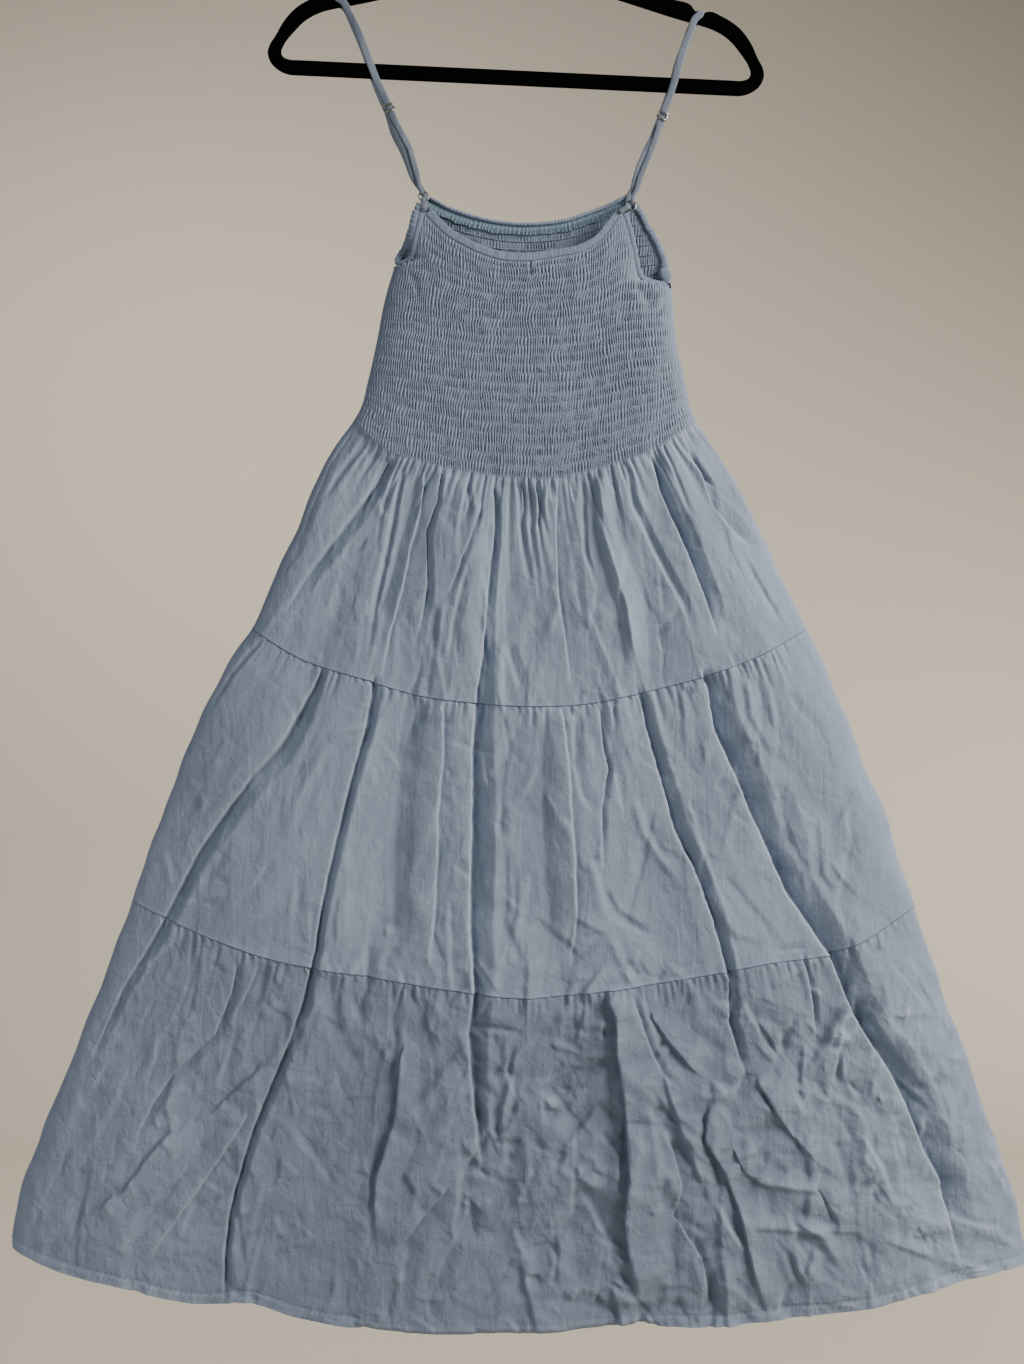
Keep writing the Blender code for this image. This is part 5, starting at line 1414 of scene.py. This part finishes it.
def stitches(path, outward):
    """A row of short thread stitches along a path, each dipping into the cloth at its ends."""
    steps = np.linalg.norm(np.diff(path, axis=0), axis=1)
    total = np.concatenate([[0], np.cumsum(steps)])
    rise = STITCH_RISE * np.array([-0.6, 1, 1, -0.6])[:, None]
    grids = []
    for start in np.arange(0, total[-1] - STITCH, STITCH * 1.12):
        at = start + np.linspace(0, STITCH, 4)
        centre = np.stack([np.interp(at, total, values) for values in path.T], axis=1)
        grids.append(tube(centre + outward * BACKWARDS * rise, (0.02, 0.1, 1.0), THREAD, THREAD, 5))
    return grids


def grid_of(piece, count):
    """A piece's points in millimetres, as rows of so many columns."""
    places = np.empty(len(piece.data.vertices) * 3)
    piece.data.vertices.foreach_get("co", places)
    return places.reshape(-1, count, 3) / MM


def hem_stitches(face):
    """One row of stitches along the top of the turned hem, except where the front's rolls under."""
    count = COLUMNS["lower_tier"][face]
    grid = grid_of(LOWER[face], count + 1)
    wanted = HEM_BAND - line("hem", columns(count), face)
    rows = np.abs(grid[:, :, 2] - wanted).argmin(axis=0)
    path = grid[rows, np.arange(count + 1)]
    path[:, 2] = wanted
    left, right = ROLLED_HEM
    parts = [path[path[:, 0] < left + 2], path[path[:, 0] > right - 2]] if face == "front" else [path]
    grids = sum((stitches(part, OUTWARD[face]) for part in parts), [])
    name = f"hem_stitches_{face}"
    return add_piece(name, joined(name, grids), THREADS, "dress_cloth")


def elastic_rows(face):
    """Elastic thread on the inside of the shirred cloth, a line for each row."""
    grid = grid_of(UPPER[face], COLUMNS["upper"][face] + 1)
    grids = []
    for row in range(1, ELASTICS[face] + 1):
        path = grid[row * STEPS_PER_ELASTIC, 6:-6:4]
        path = path[np.abs(placed(face, path[:, 0], -path[:, 2])) < 0.95]
        path[:, 1] -= OUTWARD[face] * 0.45
        path[:, 1] = np.minimum(path[:, 1], -0.8) if face == "front" else np.maximum(path[:, 1], 0.8)
        grids.append(tube(path, (0.0, 0.0, 1.0), *ELASTIC_THREAD, 5))
    name = f"elastic_rows_{face}"
    return add_piece(name, joined(name, grids), ELASTIC, "dress_cloth")


def overlock_edge():
    """Overlocked thread along the turned-in band's lower edge: slanted loops close together."""
    lower, *_, upper = grid_of(TRIMS["back"][0], BACK_BAND_COLUMNS + 1)[:5]
    grids = []
    for start in range(2, len(lower) - 6, 3):
        low, high = lower[start], upper[start + 1]
        middle = mix(low, high, 0.5) + (0, -0.5, 0)
        path = np.array([low + (0, 0.2, -0.3), low + (0, -0.35, 0.1), middle, high + (0, -0.3, 0)])
        grids.append(tube(path, (1.0, 0.0, 0.0), *OVERLOCK_THREAD, 5))
    return add_piece("neck_overlock", joined("neck_overlock", grids), OVERLOCK, "overlocked_band")


def seam_line(face, name, panel, panel_name):
    """The dark line of a seam: a thread where the cloth below is let into the one above, coloured dark as
    the seam's painted shadow.
    """
    path = grid_of(panel, COLUMNS[panel_name][face] + 1)[-1]
    path[:, 1] += OUTWARD[face] * 0.1
    path[:, 2] -= 0.25
    mesh = joined(name, [tube(path, (0.0, 0.0, 1.0), SEAM_LINE, SEAM_LINE, 5)])
    return add_piece(f"{name}_line_{face}", mesh, SEAM_SHADE, "dress_cloth")


def neck_stitching():
    """A fine row of stitches along the foot of the front binding."""
    points, away = neck_line("front", NECK_BAND_COLUMNS // 2)
    path = points[2:-2] + away[2:-2] * 0.5
    path[:, 1] -= 0.45
    mesh = joined("neck_stitching", [tube(path, away[2:-2], NECK_STITCH, NECK_STITCH, 5)])
    return add_piece("neck_stitching", mesh, SEAM_SHADE, "bound_edge")


for face in FACES:
    TRIMS[face] += [hem_stitches(face), elastic_rows(face)]
    TRIMS[face].append(seam_line(face, "upper_seam", UPPER[face], "upper"))
    TRIMS[face].append(seam_line(face, "lower_seam", MIDDLE[face], "middle_tier"))
TRIMS["front"].append(neck_stitching())
TRIMS["back"].append(overlock_edge())

# ---------------------------------------------------------------- hanger


def hanger():
    """Slim moulded hanger: one flat loop with soft edges and a notch in each arm."""
    curve = bpy.data.curves.new("hanger_outline", "CURVE")
    curve.dimensions = "2D"
    curve.fill_mode = "BOTH"
    curve.extrude = (HANGER_THICKNESS / 2 - HANGER_EDGE) * MM
    curve.bevel_depth = HANGER_EDGE * MM
    curve.bevel_resolution = 4
    curve.offset = -HANGER_EDGE * MM
    for outline in (HANGER_OUTER, HANGER_INNER):
        right = smooth_path(np.stack([outline["x"], outline["drop"], 0 * outline["x"]], axis=1), 2.5)
        points = np.vstack([right, right[::-1] * (-1, 1, 1)])
        spline = curve.splines.new("POLY")
        spline.points.add(len(points) - 1)
        for point, (x, drop, _) in zip(spline.points, points):
            point.co = (x * MM, -drop * MM, 0, 1)
        spline.use_cyclic_u = True
    flat = bpy.data.objects.new("hanger_outline", curve)
    bpy.context.scene.collection.objects.link(flat)
    bpy.context.view_layer.update()
    mesh = bpy.data.meshes.new_from_object(flat.evaluated_get(bpy.context.evaluated_depsgraph_get()))
    bpy.data.objects.remove(flat)
    mesh.transform(Matrix.Rotation(HANGER_TILT, 4, "Y") @ Matrix.Rotation(math.pi / 2, 4, "X"))
    mesh.shade_smooth()
    mesh.set_sharp_from_angle(angle=math.radians(40))
    return add_piece("flocked_hanger", mesh, FLOCK, "hanger_velvet", "hanger_body")


def hook():
    """Swivel hook of plated wire, with a small collar where it enters the hanger."""
    centre = HOOK_RADIUS - HOOK_WIRE
    points = [(0, BOSS_DROP - 0.3), (0, 88), (0, 76), (0, 64)]
    points += [(1.5, HOOK_NECK_DROP + 3), (6.5, HOOK_NECK_DROP - 6)]
    for degrees in range(-50, 196, 10):
        angle = math.radians(degrees)
        points.append((HOOK_RADIUS * math.cos(angle), centre - HOOK_RADIUS * math.sin(angle)))
    path = smooth_path(np.array([tilted(x, 0, drop) for x, drop in points]), 1.5)
    collar = np.array([tilted(0, 0, drop) for drop in (BOSS_DROP - 0.4, BOSS_DROP - 2.5)])
    grids = [capped(round_wire(path, HOOK_WIRE, 16)), capped(round_wire(collar, 3.2, 20))]
    return add_piece("hanger_wire_hook", joined("hook", grids), HOOK, "hook_metal", "hanger_hook")


HANGER = hanger()
hook()

# ---------------------------------------------------------------- stage, light and camera


def stage():
    """A pale wall that curves into a pale floor, well behind and below the dress."""
    radius, floor, wall, reach, top = 900.0, -2300.0, 3300.0, 9000.0, 6000.0
    profile = [(-reach, floor)]
    for turn in np.linspace(0, 1, 24) * math.pi / 2:
        profile.append((wall - radius + radius * math.sin(turn), floor + radius - radius * math.cos(turn)))
    profile.append((wall, top))
    grid = np.array([[(x, y, z) for x in (-reach, reach)] for y, z in profile])
    obj = bpy.data.objects.new("studio_cove", grid_mesh("cove", grid))
    obj.data.materials.append(painted_wall("matt_wall_paint", "c9c1b4"))
    bpy.context.scene.collection.objects.link(obj)


def softbox(name, place, aim, size, power, colour):
    """An area light at a place, aimed at another; metres and watts."""
    light = bpy.data.lights.new(name, "AREA")
    light.shape = "RECTANGLE"
    light.size, light.size_y = size
    light.energy = power
    light.color = linear(colour)[:3]
    obj = bpy.data.objects.new(name, light)
    bpy.context.scene.collection.objects.link(obj)
    towards = unit(np.array(aim, float) - np.array(place, float))
    side = unit(np.cross(towards, (0, 0, 1)))
    up = np.cross(side, towards)
    turned = np.eye(4)
    turned[:3, 0], turned[:3, 1], turned[:3, 2], turned[:3, 3] = side, up, -towards, place
    obj.matrix_world = Matrix(turned.tolist())


stage()
softbox("window", (1.9, -0.95, 0.15), (0.05, 0, -0.9), (1.0, 1.3), 109, "fffaf2")
softbox("wall_light", (2.8, 1.0, -1.6), (1.6, 3.3, -1.5), (1.5, 1.5), 62, "fff4e6")
softbox("fill", (-1.9, -1.9, -0.7), (-0.1, 0, -1.0), (1.8, 1.8), 23, "ecf0f5")
softbox("wall_wash", (-1.6, 0.9, 0.6), (-1.5, 3.3, -1.0), (3.0, 2.5), 72, "fff6ea")
room = bpy.data.worlds.new("room")
room.use_nodes = True
plug(room.node_tree.nodes["Background"], {"Color": linear("dfe3e8"), "Strength": 0.16})
bpy.context.scene.world = room

# The camera looks straight at the dress from in front of its middle, with a lens 53 degrees wide
camera = bpy.data.cameras.new("camera")
camera.sensor_fit = "HORIZONTAL"
camera.sensor_width = 36.0
camera.lens = CAMERA_LENS
camera.clip_start = 0.05
camera_object = bpy.data.objects.new("camera", camera)
camera_object.location = CAMERA_PLACE
camera_object.rotation_euler = (math.pi / 2, 0, 0)
bpy.context.scene.collection.objects.link(camera_object)
bpy.context.scene.camera = camera_object
